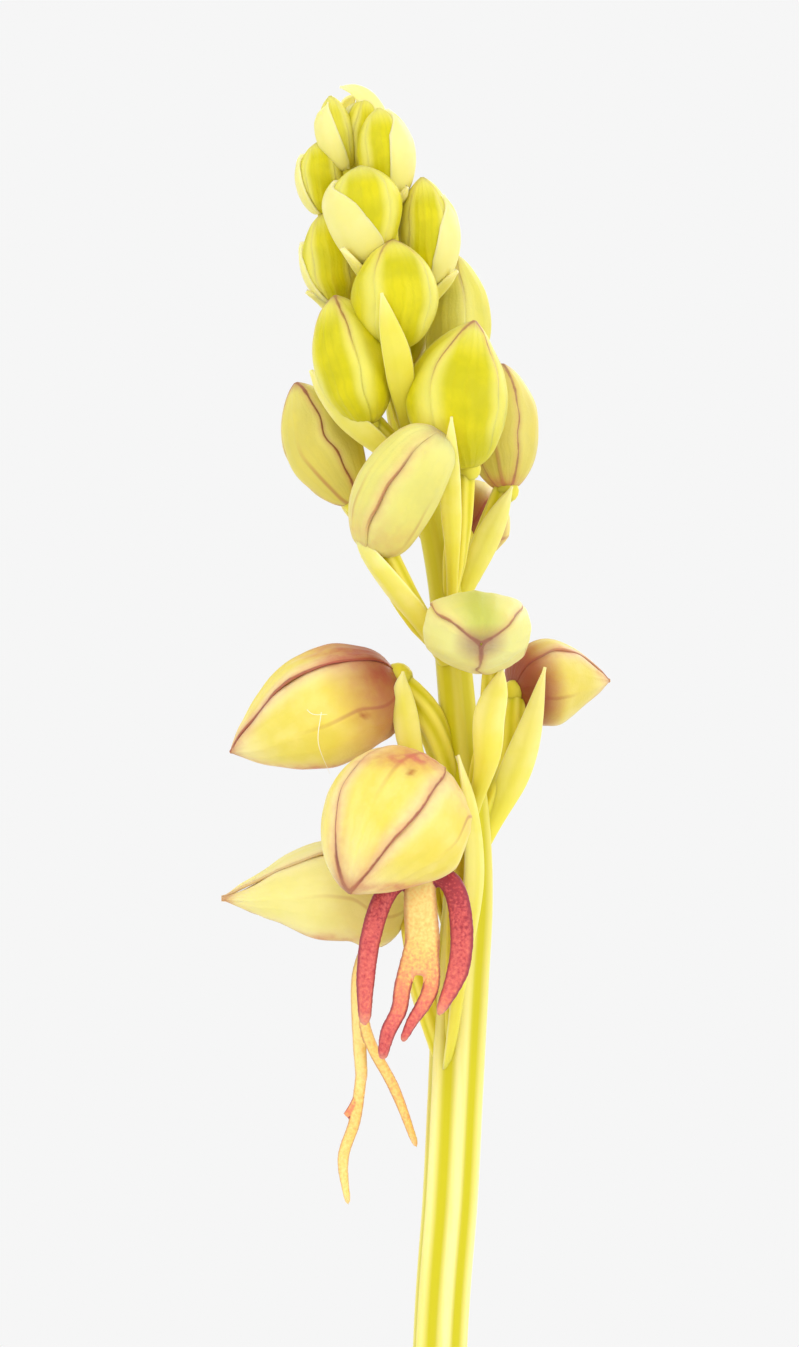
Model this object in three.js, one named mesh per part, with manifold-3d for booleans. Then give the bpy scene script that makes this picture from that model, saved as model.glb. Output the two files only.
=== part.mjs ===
// A man orchid in a plain clay pot: one flower spike with buds above and open flowers below, leaves,
// tubers and soil. Millimetres, +Z up, and the origin is the middle of the pot's underside.
import * as THREE from "three";
import { mergeVertices } from "three/addons/utils/BufferGeometryUtils.js";
import Module from "manifold-3d";

const wasm = await Module();
wasm.setup();

// Driving dimensions
const GAP = 0.3; // between pieces that touch on the real plant
const BLADE = 0.6; // thickness of a bract
const SLIVER = 0.012; // shorter edges, which a cut leaves, are closed up
const POT = {
  height: 70, footRadius: 27, neckRadius: 35, rimRadius: 40, rimBand: 15, rimStep: 2.4,
  wall: 4.2, floor: 5, bevel: 1.2, facets: 32, holes: 3, holeRadius: 2.6, holeCircle: 14, holeFacets: 16,
};
const SOIL = { top: 61, crown: 2.2, lump: 0.7, rings: 4 };
const SCAPE = { top: 237, buried: 12, ribs: 5, ribDepth: 0.07, steps: 38 };
const TUBER = {
  length: 15, radius: 4.6, spread: 5.92, aside: 0.6, top: 0.9, bow: 1.1,
  shape: [0.35, 0.8, 1, 0.95, 0.6, 0.15],
};
const CROWN = { below: 2.6, height: 2.2, radii: [1.4, 2.3, 1.7] };
const ROOT = { count: 4, length: 17, radius: 0.9, drop: 4, shape: [1, 0.8, 0.4] };

// Leaves: wrap is half the angle that the foot clasps the stem through, and fold half the angle that
// the free blade is folded to, both in degrees. folds and opens are the shares of the length over which
// a leaf goes from one fold and width to the other, and closes is where it begins to taper.
const LEAF = {
  thickness: 0.9, stations: 11, across: 5, clasp: 2.75, wrap: 50, fold: 24, collar: 5, lean: 0.5, tip: 1.2,
  folds: [0.1, 0.45], opens: [0.08, 0.6], closes: 0.55, taper: 1.8, wave: 0.35, waves: 14,
};
const SHEATH = {
  thickness: 0.7, stations: 10, across: 7, wrap: 156, fold: 26, tip: 0.8, opens: [0.25, 0.6], closes: 0.45,
  taper: 1.6,
};

// A leaf's line beyond its collar: how much of its length, rise and fall each point takes.
const LEAF_LINE = [
  { reach: 0.16, rise: 0.6, fall: 0 }, { reach: 0.42, rise: 1, fall: 0 },
  { reach: 0.72, rise: 1, fall: 0.3 }, { reach: 0.96, rise: 1, fall: 1 },
];
// A sheath's line: the share of its length, and how far it stands off the stem there.
const SHEATH_LINE = [[0, 0], [0.25, 0], [0.5, 0.4], [0.75, 3], [1, 8]];

// The spike was measured on an upright picture, so its places are given by picture column and row,
// with the depth behind the pot's axis in millimetres.
const PICTURE = { rows: 1347, height: 56.6, axisColumn: 425, tipRow: 85 };
const MM_PER_ROW = PICTURE.height / PICTURE.rows;

function at(column, row, depth) {
  const x = (column - PICTURE.axisColumn) * MM_PER_ROW;
  const z = SCAPE.top - (row - PICTURE.tipRow) * MM_PER_ROW;
  return new THREE.Vector3(x, depth, z);
}

const FRONT = new THREE.Vector3(0, -1, 0);
const BACK = new THREE.Vector3(0, 1, 0);
const UP = new THREE.Vector3(0, 0, 1);
const toward = (x, y, z) => new THREE.Vector3(x, y, z).normalize();
const degrees = THREE.MathUtils.degToRad;

// Each bud or hood is a head on a stalk. stalk runs from the stem to the head, and head through the
// head's neck, middle and tip. wide and deep are its diameters, belly is where it is widest, and facing
// and roll turn the back sepal. blunt and point say how full the base and tip are: below 1 is rounder,
// and points gives one value for each side. ovary is the stalk's radius. line is how far the seams
// between the sepals stand out, back is half the back sepal's angle and dent how hollow it is.
const BUDS = [
  {
    name: "bud_01", stalk: [at(358, 195, -0.3), at(352, 180, -0.6), at(346, 165, -0.8)],
    head: [at(347, 172, -0.8), at(337, 134, -0.9), at(330, 97, -0.8)],
    wide: 1.4, deep: 1.3, ovary: 0.3, bractFacing: BACK,
  },
  {
    name: "bud_02", stalk: [at(374, 222, -0.35), at(384, 210, -0.8), at(389, 195, -1.3)],
    head: [at(390, 204, -1.3), at(384, 156, -1.6), at(379, 110, -1.4)],
    wide: 2.1, deep: 2.0, ovary: 0.34,
    bract: [
      at(377, 226, -0.6), at(396, 205, -1.9), at(405, 168, -2.4), at(399, 136, -2.4),
      at(388, 113, -2.0),
    ],
    bractFacing: toward(0.6, -0.8, 0), bractWidth: 0.85,
  },
  {
    name: "bud_03", stalk: [at(370, 240, -0.1), at(348, 228, -0.3), at(328, 208, -0.5)],
    head: [at(326, 215, -0.5), at(321, 178, -0.7), at(318, 143, -0.6)],
    wide: 1.75, deep: 1.7, ovary: 0.34, bractFacing: BACK,
  },
  {
    name: "bud_04", stalk: [at(383, 305, -0.45), at(376, 284, -1.5), at(368, 258, -2.3)],
    head: [at(368, 269, -2.3), at(365, 213, -2.9), at(361, 169, -2.8)],
    wide: 3.0, deep: 2.7, ovary: 0.4, belly: 0.55,
    bract: [
      at(385, 310, -0.7), at(374, 272, -3.0), at(353, 236, -4.2), at(341, 208, -4.3),
      at(337, 187, -4.0),
    ],
    bractFacing: toward(-0.6, -0.8, 0), bractWidth: 1.1,
  },
  {
    name: "bud_05", stalk: [at(391, 330, -0.3), at(412, 310, -0.8), at(429, 276, -1.3)],
    head: [at(430, 288, -1.2), at(427, 236, -1.6), at(422, 179, -1.5)],
    wide: 2.25, deep: 2.2, ovary: 0.4,
    bract: [
      at(394, 336, -0.6), at(433, 296, -2.0), at(448, 262, -2.5), at(449, 232, -2.5),
      at(441, 203, -2.1),
    ],
    bractFacing: toward(0.8, -0.6, 0), bractWidth: 0.9,
  },
  {
    name: "bud_06", stalk: [at(392, 345, -0.1), at(365, 330, -0.3), at(341, 296, -0.5)],
    head: [at(340, 305, -0.5), at(331, 262, -0.8), at(323, 214, -0.7)],
    wide: 2.2, deep: 2.1, ovary: 0.4,
    bract: [
      at(390, 352, -0.4), at(350, 330, -1.0), at(320, 304, -1.5), at(307, 278, -1.6),
      at(304, 249, -1.3),
    ],
    bractFacing: toward(-0.9, -0.4, 0), bractWidth: 0.85,
  },
  {
    name: "bud_07", stalk: [at(407, 445, -0.6), at(400, 395, -1.9), at(393, 340, -2.9)],
    head: [at(392, 352, -2.8), at(395, 299, -3.4), at(392, 243, -3.2)],
    wide: 3.45, deep: 3.2, ovary: 0.45, roll: 12,
    bract: [
      at(408, 450, -1.0), at(404, 405, -3.2), at(398, 365, -4.8), at(389, 330, -5.3),
      at(382, 298, -5.3),
    ],
    bractFacing: FRONT, bractWidth: 1.25,
  },
  {
    name: "bud_08", stalk: [at(405, 420, 0.1), at(424, 405, 0.3), at(443, 375, 0.3)],
    head: [at(441, 388, 0.3), at(459, 326, 0.3), at(455, 254, 0.2)],
    wide: 2.5, deep: 2.4, ovary: 0.45, roll: -30, bractFacing: BACK,
  },
  {
    name: "bud_09", stalk: [at(415, 475, -0.5), at(394, 449, -1.5), at(367, 415, -2.5)],
    head: [at(370, 426, -2.4), at(352, 363, -3.0), at(335, 298, -2.8)],
    wide: 3.0, deep: 2.9, ovary: 0.45, roll: -32,
    bract: [
      at(415, 484, -0.9), at(380, 452, -2.4), at(346, 424, -2.8), at(322, 394, -2.7),
      at(312, 372, -2.4),
    ],
    bractFacing: toward(-0.6, -0.5, -0.6), bractWidth: 1.1,
  },
  {
    name: "bud_10", stalk: [at(452, 605, -0.7), at(458, 530, -1.7), at(466, 455, -2.6)],
    head: [at(468, 470, -2.5), at(457, 399, -3.0), at(474, 323, -2.9)],
    wide: 4.15, deep: 3.9, ovary: 0.5, roll: 10, point: 0.85,
    bract: [
      at(454, 612, -1.1), at(452, 545, -2.9), at(450, 495, -4.1), at(450, 455, -5.0),
      at(451, 420, -5.3),
    ],
    bractFacing: FRONT, bractWidth: 0.9,
  },
  {
    name: "bud_11", stalk: [at(425, 525, 0.2), at(390, 524, 0.3), at(346, 492, 0.3)],
    head: [at(354, 503, 0.3), at(322, 444, 0.4), at(296, 382, 0.3)],
    wide: 2.95, deep: 2.9, ovary: 0.45, roll: 15, bractFacing: BACK,
  },
  {
    name: "bud_12", stalk: [at(458, 610, 0.5), at(482, 548, 1.0), at(508, 478, 1.5)],
    head: [at(507, 490, 1.4), at(502, 426, 1.9), at(503, 362, 1.8)],
    wide: 2.95, deep: 3.0, ovary: 0.5, roll: -12,
    bract: [at(459, 618, 0.1), at(478, 562, 0.3), at(497, 520, 0.6), at(512, 486, 0.8)],
    bractFacing: toward(0.3, -0.9, 0), bractWidth: 1.2,
  },
  {
    name: "bud_13", stalk: [at(437, 655, -0.7), at(405, 598, -2.6), at(378, 536, -3.8)],
    head: [at(374, 553, -3.6), at(399, 492, -4.4), at(441, 435, -5.0)],
    wide: 3.25, deep: 3.1, ovary: 0.55, roll: -55, blunt: 0.3, point: 0.34,
    bract: [
      at(437, 664, -1.0), at(419, 625, -2.8), at(393, 592, -3.9), at(367, 556, -4.4),
      at(356, 528, -4.5),
    ],
    bractFacing: toward(-0.5, -0.8, -0.3), bractWidth: 1.5,
  },
  {
    name: "bud_14", stalk: [at(473, 805, -0.9), at(489, 735, -1.7), at(492, 660, -2.7)],
    head: [at(489, 655, -2.0), at(476, 630, -4.2), at(480, 645, -7.0)],
    wide: 4.3, deep: 3.1, ovary: 0.5, facing: UP, blunt: 0.3, point: 0.42,
    back: 52, line: 1.07, dent: 0.12,
    bract: [
      at(474, 812, -1.3), at(485, 764, -2.5), at(488, 718, -3.0), at(496, 690, -3.2),
      at(502, 668, -3.1),
    ],
    bractFacing: FRONT, bractWidth: 1.4,
  },
  {
    name: "bud_15", stalk: [at(422, 485, 0.5), at(424, 475, 1.0), at(424, 455, 1.7)],
    head: [at(424, 466, 1.5), at(423, 410, 2.8), at(420, 356, 2.9)],
    wide: 2.9, deep: 2.8, ovary: 0.45, facing: BACK,
  },
  {
    name: "bud_16", stalk: [at(404, 385, 0.4), at(403, 377, 0.8), at(402, 360, 1.4)],
    head: [at(402, 370, 1.2), at(398, 318, 2.3), at(395, 266, 2.3)],
    wide: 2.6, deep: 2.5, ovary: 0.42, facing: BACK,
  },
  {
    name: "bud_17", stalk: [at(386, 302, 0.35), at(383, 294, 0.7), at(379, 278, 1.2)],
    head: [at(380, 287, 1.1), at(374, 240, 1.95), at(371, 196, 1.9)],
    wide: 2.1, deep: 2.0, ovary: 0.38, facing: BACK,
  },
  {
    name: "bud_18", stalk: [at(370, 230, 0.3), at(367, 222, 0.6), at(362, 206, 0.9)],
    head: [at(363, 214, 0.8), at(357, 173, 1.3), at(353, 136, 1.3)],
    wide: 1.6, deep: 1.5, ovary: 0.33, facing: BACK,
  },
];

const FLOWERS = [
  {
    name: "flower_1", stalk: [at(445, 800, -0.4), at(431, 724, -0.7), at(400, 680, -0.8)],
    head: [at(398, 678, -0.8), at(317, 716, -0.9), at(230, 752, -0.9)],
    wide: 5.0, deep: 5.0, ovary: 0.62, facing: toward(0.3, -0.1, 1), belly: 0.44, point: 0.95,
    bract: [
      at(443, 812, -0.9), at(417, 762, -1.6), at(406, 718, -2.0), at(402, 690, -2.1),
      at(403, 672, -1.9),
    ],
    bractFacing: FRONT, bractWidth: 1.15,
  },
  {
    name: "flower_2", stalk: [at(487, 835, 0.6), at(507, 765, 1.3), at(517, 700, 2.1)],
    head: [at(515, 692, 2.2), at(556, 682, 3.2), at(612, 681, 4.0)],
    wide: 3.6, deep: 3.4, ovary: 0.5, facing: UP, belly: 0.42, point: 1.0,
    bract: [
      at(488, 850, 0.3), at(504, 802, 0.5), at(520, 764, 0.7), at(533, 722, 0.9),
      at(545, 667, 0.8),
    ],
    bractFacing: toward(0.3, -0.9, 0), bractWidth: 1.2,
  },
  {
    name: "flower_3",
    stalk: [at(444, 1062, -1.0), at(458, 930, -1.9), at(462, 845, -2.0), at(441, 776, -2.4)],
    head: [at(436, 775, -2.4), at(397, 820, -4.3), at(350, 890, -6.2)],
    wide: 6.0, deep: 4.6, ovary: 0.5, facing: FRONT, roll: 26, back: 34, blunt: 0.42, points: [1.05, 0.6],
    open: true,
    bract: [
      at(444, 1068, -1.2), at(462, 975, -2.3), at(474, 905, -2.7), at(476, 855, -2.8), at(470, 800, -2.6),
      at(457, 755, -2.3),
    ],
    bractFacing: toward(0.7, -0.7, 0), bractWidth: 1.3,
  },
  {
    name: "flower_4", stalk: [at(437, 1078, -0.2), at(424, 985, -0.3), at(408, 912, 0.4)],
    head: [at(407, 906, 0.5), at(318, 899, 0.8), at(221, 899, 0.8)],
    wide: 5.2, deep: 4.7, ovary: 0.5, facing: UP, belly: 0.42, point: 1.35, open: true,
    bract: [at(438, 1080, 0.5), at(424, 1000, 1.0), at(417, 950, 1.6), at(414, 905, 1.9)],
    bractFacing: toward(-0.2, 1, 0), bractWidth: 1.2,
  },
  {
    name: "flower_5", stalk: [at(449, 645, 0.7), at(457, 585, 1.8), at(462, 532, 2.8)],
    head: [at(462, 536, 2.6), at(464, 520, 4.8), at(462, 544, 7.8)],
    wide: 3.8, deep: 3.4, ovary: 0.5, facing: UP, belly: 0.45, point: 0.9,
  },
  {
    name: "flower_6", stalk: [at(459, 970, 1.1), at(452, 885, 2.0), at(440, 824, 3.0)],
    head: [at(440, 828, 2.8), at(426, 812, 5.2), at(408, 838, 9.0)],
    wide: 5.2, deep: 4.4, ovary: 0.5, facing: UP, belly: 0.45, point: 0.9,
  },
];

// The lips: strands of a small hanging man, each with its width at its root, middle and tip.
const LIPS = [
  {
    name: "flower_3_lip", thickness: 0.7,
    strands: [
      {
        line: [at(420, 862, -3.7), at(420, 900, -4.0), at(422, 940, -4.1), at(418, 972, -4.1)],
        width: [1.25, 1.5, 1.5],
      },
      {
        line: [
          at(414, 866, -3.7), at(388, 890, -4.0), at(373, 930, -4.2), at(366, 975, -4.2),
          at(365, 1021, -4.0),
        ],
        width: [0.85, 0.9, 0.5],
      },
      {
        line: [
          at(426, 866, -3.7), at(452, 884, -4.0), at(461, 925, -4.2), at(457, 968, -4.2),
          at(438, 1011, -4.0),
        ],
        width: [0.85, 1.0, 0.45],
      },
      {
        line: [at(413, 945, -4.1), at(403, 982, -4.1), at(390, 1022, -4.1), at(382, 1055, -4.0)],
        width: [0.85, 0.8, 0.45],
      },
      {
        line: [at(429, 945, -4.1), at(431, 980, -4.1), at(416, 1011, -4.1), at(402, 1037, -4.0)],
        width: [0.8, 0.7, 0.35],
      },
    ],
  },
  {
    name: "flower_4_lip", thickness: 0.65,
    strands: [
      {
        line: [at(376, 925, 0.6), at(360, 975, 0.7), at(359, 1030, 0.7), at(362, 1085, 0.7)],
        width: [0.7, 0.8, 0.65],
      },
      {
        line: [at(362, 1070, 0.7), at(355, 1120, 0.7), at(343, 1160, 0.7), at(348, 1206, 0.7)],
        width: [0.65, 0.65, 0.35],
      },
      {
        line: [at(360, 1000, 0.7), at(370, 1042, 0.3), at(395, 1090, 0.1), at(417, 1148, 0)],
        width: [0.6, 0.6, 0.35],
      },
      {
        line: [at(360, 1095, 0.7), at(353, 1108, 0.7), at(345, 1117, 0.7)],
        width: [0.6, 0.6, 0.45],
      },
    ],
  },
];

// The stem's line from its foot in the soil to the tip of the spike, with its radius at each place.
const spot = (x, y, z) => new THREE.Vector3(x, y, z);
const STEM = [
  [spot(0, 0, SOIL.top - SCAPE.buried), 1.75], [spot(0, 0, 60), 1.75], [spot(-0.1, 0.1, 74), 1.7],
  [spot(-0.5, 0.3, 92), 1.55], [spot(-0.9, 0.5, 115), 1.4], [spot(-0.7, 0.5, 138), 1.28],
  [spot(-0.1, 0.3, 158), 1.2], [spot(0.35, 0.1, 173), 1.14],
  [at(440, 1347, 0), 1.12], [at(450, 1200, 0), 1.13], [at(455, 1100, 0), 1.13], [at(460, 1000, 0), 1.15],
  [at(468, 900, 0), 1.02], [at(468, 820, 0), 0.9], [at(461, 750, 0), 0.82], [at(452, 650, 0), 0.76],
  [at(440, 560, 0), 0.68], [at(416, 450, 0), 0.58], [at(400, 350, 0), 0.45], [at(377, 200, 0), 0.34],
  [at(360, 150, 0), 0.24],
];

// The tip of the spike: a core of young buds and the bracts that close over it.
const TIP = {
  core: [at(362, 176, -0.1), at(360, 140, -0.2), at(360, 104, -0.3)],
  coreRadii: [0.36, 0.65, 0.65, 0.2],
  stations: 6, across: 3, cup: 25, point: 0.35,
  bracts: [
    {
      line: [
        at(374, 165, -0.6), at(379, 128, -0.9), at(370, 102, -0.7), at(355, 90, -0.5),
        at(340, 88, -0.4),
      ],
      width: 0.95,
    },
    { line: [at(352, 160, 0.3), at(344, 125, 0.4), at(349, 104, 0.3), at(358, 92, 0)], width: 0.8 },
  ],
};

// Rosette leaves: heading round the stem, how high they leave it, length, width and how far they arch.
const LEAVES = [
  { name: "leaf_1", heading: 20, start: 1, length: 74, width: 19, rise: 16, fall: 10 },
  { name: "leaf_2", heading: 142, start: 1, length: 68, width: 18, rise: 18, fall: 4 },
  { name: "leaf_3", heading: 258, start: 1, length: 78, width: 20, rise: 15, fall: 12 },
  { name: "leaf_4", heading: 82, start: 9, length: 62, width: 16, rise: 26, fall: 0 },
  { name: "leaf_5", heading: 200, start: 9, length: 66, width: 17, rise: 28, fall: 2 },
  { name: "leaf_6", heading: 322, start: 9, length: 58, width: 15, rise: 30, fall: 0 },
];
const SHEATHS = [
  { name: "sheath_leaf_1", heading: 250, start: 20, length: 44, width: 9, clasp: 2.35 },
  { name: "sheath_leaf_2", heading: 75, start: 54, length: 32, width: 7.2, clasp: 2.05 },
];

const COLOURS = {
  clay: 0xb5673f, soil: 0x3a2c20, tuber: 0xb79a6c, stem: 0xd6cf3e, leaf: 0x5f8f35, bud: 0xdad04a,
  hood: 0xe9d27a, stalk: 0xeee28f, lip: 0xd9774f,
};

// Turns rings of points into a closed solid. A ring runs anticlockwise seen from the far end, and its
// second half lies opposite its first, so that both faces of a blade are cut into triangles alike.
function loft(rings) {
  const count = rings[0].length;
  const half = count / 2;
  const faces = [];
  for (let ring = 0; ring < rings.length - 1; ring++) {
    for (let i = 0; i < count; i++) {
      const a = ring * count + i;
      const b = ring * count + ((i + 1) % count);
      const [c, d] = [a + count, b + count];
      faces.push(...(i < half ? [a, b, d, a, d, c] : [a, b, c, b, d, c]));
    }
  }
  const last = (rings.length - 1) * count;
  for (let i = 0; i < half - 1; i++) {
    const [a, b, c, d] = [i, i + 1, count - 2 - i, count - 1 - i];
    faces.push(a, c, b, a, d, c);
    faces.push(last + a, last + b, last + c, last + a, last + c, last + d);
  }
  const corners = rings.flat().flatMap((point) => point.toArray());
  return solidFrom(corners, faces);
}

function solidFrom(corners, faces) {
  const data = { numProp: 3, vertProperties: new Float32Array(corners), triVerts: new Uint32Array(faces) };
  return new wasm.Manifold(new wasm.Mesh(data));
}

function solidFromGeometry(geometry) {
  geometry.deleteAttribute("normal");
  geometry.deleteAttribute("uv");
  const merged = mergeVertices(geometry, 1e-4);
  return solidFrom(merged.attributes.position.array, merged.index.array);
}

// Stations on a curve with directions along it, out of it and to its side. The outward direction
// starts as facing at the station numbered anchor and is carried to the others without twist.
function stationsOn(points, stops, facing, anchor) {
  const curve = new THREE.CatmullRomCurve3(points, false, "catmullrom", 0.5);
  const along = stops.map((stop) => curve.getTangent(stop));
  const out = [];
  out[anchor] = facing.clone().projectOnPlane(along[anchor]).normalize();
  const carry = (from, to) => {
    const turn = new THREE.Quaternion().setFromUnitVectors(along[from], along[to]);
    out[to] = out[from].clone().applyQuaternion(turn);
  };
  for (let i = anchor; i > 0; i--) carry(i, i - 1);
  for (let i = anchor; i < stops.length - 1; i++) carry(i, i + 1);
  return stops.map((stop, i) => ({
    point: curve.getPoint(stop), along: along[i], out: out[i], side: along[i].clone().cross(out[i]),
  }));
}

function spaced(count) {
  return Array.from({ length: count }, (_, i) => i / (count - 1));
}

function offset(station, out, side, along = 0) {
  return station.point.clone().addScaledVector(station.out, out).addScaledVector(station.side, side)
    .addScaledVector(station.along, along);
}

// How far a ring is pushed past its station where a solid grows by an amount at both ends.
const endShift = (i, count, grow) => (i === 0 ? -grow : i === count - 1 ? grow : 0);

// A round strand with a radius at each station. flat is its thickness as a share of its width.
function strand(points, radii, sides, { facing = FRONT, flat = 1, grow = 0 } = {}) {
  const stations = stationsOn(points, spaced(radii.length), facing, 0);
  const rings = stations.map((station, i) => {
    const push = endShift(i, radii.length, grow);
    return Array.from({ length: sides }, (_, k) => {
      const angle = ((k + 0.5) / sides) * 2 * Math.PI;
      const out = (radii[i] * flat + grow) * Math.cos(angle);
      return offset(station, out, (radii[i] + grow) * Math.sin(angle), push);
    });
  });
  return loft(rings);
}

// The share of its full width that a head has at a share of its length. Where its two sides end
// differently, sideways runs from -1 at the first side to 1 at the second.
function swell(bloom, share, sideways = 0) {
  const { belly = 0.5, blunt = 0.55, point = 0.7, points = [point, point] } = bloom;
  const turn = Math.PI * share ** (Math.log(0.5) / Math.log(belly));
  const end = THREE.MathUtils.lerp(points[0], points[1], (sideways + 1) / 2);
  return Math.max(0, Math.sin(turn)) ** (share < belly ? blunt : end);
}

// Angles round a head, from the middle of its back sepal, which has a seam at each side of it.
const BACK_SEPAL = 40;
const SIDE_ANGLES = [75, 110, 145];
const SEAM = 0.93;
const HEAD_SHARES = [0.02, 0.12, 0.32, 0.55, 0.78, 0.93, 1];
const HEAD_MIDDLE = 3;
const TIP_RADIUS = 0.12;

function head(bloom, { grow = 0, shift = 0, shares = HEAD_SHARES } = {}) {
  const { facing = FRONT, roll = 0, back = BACK_SEPAL, line = SEAM, dent = 0 } = bloom;
  const angles = [...SIDE_ANGLES.map((angle) => -angle).reverse(), -back, 0, back, ...SIDE_ANGLES, 180];
  const heights = new Map([[0, 1 - dent], [back, line], [-back, line], [180, line]]);
  const stations = stationsOn(bloom.head, shares, facing, HEAD_MIDDLE);
  const rings = stations.map((station, i) => {
    const push = endShift(i, shares.length, grow);
    const pushed = shift * swell(bloom, shares[i]);
    return angles.map((angle) => {
      const turn = degrees(angle + roll);
      const share = swell(bloom, shares[i], Math.sin(turn)) * (heights.get(angle) ?? 1);
      const outward = Math.max((share * bloom.deep) / 2, TIP_RADIUS) + grow;
      const sideways = Math.max((share * bloom.wide) / 2, TIP_RADIUS) + grow;
      return offset(station, outward * Math.cos(turn) - pushed, sideways * Math.sin(turn), push);
    });
  });
  return loft(rings);
}

// The hollow of an open hood: its wall, how far it is pushed out, its share of the hood's width and
// where along the hood it runs.
const HOLLOW = { wall: 0.65, push: 1.2, mouth: 0.66, shares: [0.1, 0.2, 0.36, 0.55, 0.74, 0.88, 0.93] };

// An open hood is a helmet: its hollow is narrower and pushed out through the underside.
function hood(bloom, grow = 0) {
  const outside = head(bloom, { grow });
  if (!bloom.open) return outside;
  const inside = head({ ...bloom, roll: 0, wide: HOLLOW.mouth * bloom.wide }, {
    grow: -HOLLOW.wall - grow, shift: HOLLOW.push, shares: HOLLOW.shares,
  });
  return outside.subtract(inside);
}

const OVARY = { shape: [0.85, 1, 0.95], sides: 6 };

function ovary(bloom, grow = 0) {
  return strand(bloom.stalk, OVARY.shape.map((share) => share * bloom.ovary), OVARY.sides, { grow });
}

// A thin blade along a line. width and cup give, for a share of the length, the blade's width and half
// the angle that it bends through from edge to edge. facing is its outer, rounded side.
function blade(points, { facing, width, cup, thickness, stations, across, grow = 0, wave = () => 0 }) {
  const shares = spaced(stations);
  const spots = stationsOn(points, shares, facing, 0);
  const rings = spots.map((spot, i) => {
    const bend = cup(shares[i]);
    const radius = width(shares[i]) / 2 / bend;
    const push = endShift(i, stations, grow);
    const edge = (inset) => spaced(across).map((share) => {
      const place = 2 * share - 1;
      const angle = place * bend * (1 + grow / (radius * bend));
      const out = (radius + inset) * Math.cos(angle) - radius;
      return offset(spot, out + wave(place, shares[i]), (radius + inset) * Math.sin(angle), push);
    });
    const outer = edge(thickness / 2 + grow);
    const inner = edge(-thickness / 2 - grow).reverse();
    return [...outer, ...inner];
  });
  return loft(rings);
}

// foot, widest and tip shape a bract's outline, and the rest lay out a bract that has no line given:
// how far it stands off the stem, the ovary and the head, and how far up the head it reaches.
const BRACT = {
  stations: 5, across: 3, cup: 35, width: 0.45, foot: 0.45, widest: 0.4, taper: 2.2, tip: 0.3,
  offStem: 0.15, offOvary: 0.25, neck: 0.35, offHead: 0.35, reach: 0.75,
};

// The share of its full width that a bract has along its length.
function bractOutline(share) {
  const { foot, widest, taper, tip } = BRACT;
  const opened = THREE.MathUtils.lerp(foot, 1, THREE.MathUtils.smoothstep(share, 0, widest));
  return Math.max(tip, opened * (1 - Math.max(0, (share - widest) / (1 - widest)) ** taper));
}

// Where no line is given, a bract lies along the stalk and the lower side of the head.
function bractLine({ stalk, head: [neck, middle], ovary: radius, deep }, away) {
  return [
    stalk[0].clone().addScaledVector(away, BRACT.offStem),
    stalk[1].clone().addScaledVector(away, radius + BRACT.offOvary),
    neck.clone().addScaledVector(away, BRACT.neck * deep),
    neck.clone().lerp(middle, BRACT.reach).addScaledVector(away, deep / 2 + BRACT.offHead),
  ];
}

function bract(bloom, grow = 0) {
  const away = bloom.bractFacing ?? outwardOf(bloom);
  const full = bloom.bractWidth ?? BRACT.width * bloom.wide;
  return blade(bloom.bract ?? bractLine(bloom, away), {
    facing: away, thickness: BLADE, stations: BRACT.stations, across: BRACT.across, grow,
    width: (share) => full * bractOutline(share),
    cup: () => degrees(BRACT.cup),
  });
}

// The direction from the stem to a bloom, seen from above.
function outwardOf(bloom) {
  return bloom.head[1].clone().sub(bloom.stalk[0]).setZ(0).normalize();
}

function lip(spec, grow = 0) {
  return spec.strands.map(({ line, width }) => {
    const radii = [width[0], (width[0] + width[1]) / 2, width[1], (width[1] + width[2]) / 2, width[2]]
      .map((full) => full / 2);
    return strand(line, radii, 6, { flat: spec.thickness / Math.max(...width), grow });
  }).reduce((whole, part) => whole.add(part));
}

function spikeTip(grow = 0) {
  const core = strand(TIP.core, TIP.coreRadii, 8, { grow });
  const bracts = TIP.bracts.map(({ line, width }) => blade(line, {
    facing: FRONT, thickness: BLADE, stations: TIP.stations, across: TIP.across, grow,
    width: (share) => width * Math.max(TIP.point, 1 - share ** 2),
    cup: () => degrees(TIP.cup),
  }));
  return bracts.reduce((whole, part) => whole.add(part), core);
}

// The ribbed stem, from below the soil to just under the tip.
function stem(grow = 0) {
  const shares = spaced(SCAPE.steps);
  const spots = stationsOn(STEM.map(([point]) => point), shares, FRONT, 0);
  const sides = 2 * SCAPE.ribs;
  return loft(spots.map((place, i) => {
    const reach = shares[i] * (STEM.length - 1);
    const low = Math.min(Math.floor(reach), STEM.length - 2);
    const radius = THREE.MathUtils.lerp(STEM[low][1], STEM[low + 1][1], reach - low);
    return Array.from({ length: sides }, (_, k) => {
      const angle = (k / sides) * 2 * Math.PI;
      const r = radius * (k % 2 ? 1 - SCAPE.ribDepth : 1 + SCAPE.ribDepth) + grow;
      return offset(place, r * Math.cos(angle), r * Math.sin(angle), endShift(i, shares.length, grow));
    });
  }));
}

// The centre of the stem at a height, for what clasps it.
function stemCentre(height) {
  const above = STEM.findIndex(([point]) => point.z > height);
  const [low, high] = [STEM[above - 1][0], STEM[above][0]];
  return low.clone().lerp(high, (height - low.z) / (high.z - low.z));
}

// The share of its width that a leaf keeps as it tapers to its tip.
function closing(share, { closes, taper }) {
  return 1 - Math.max(0, (share - closes) / (1 - closes)) ** taper;
}

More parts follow.
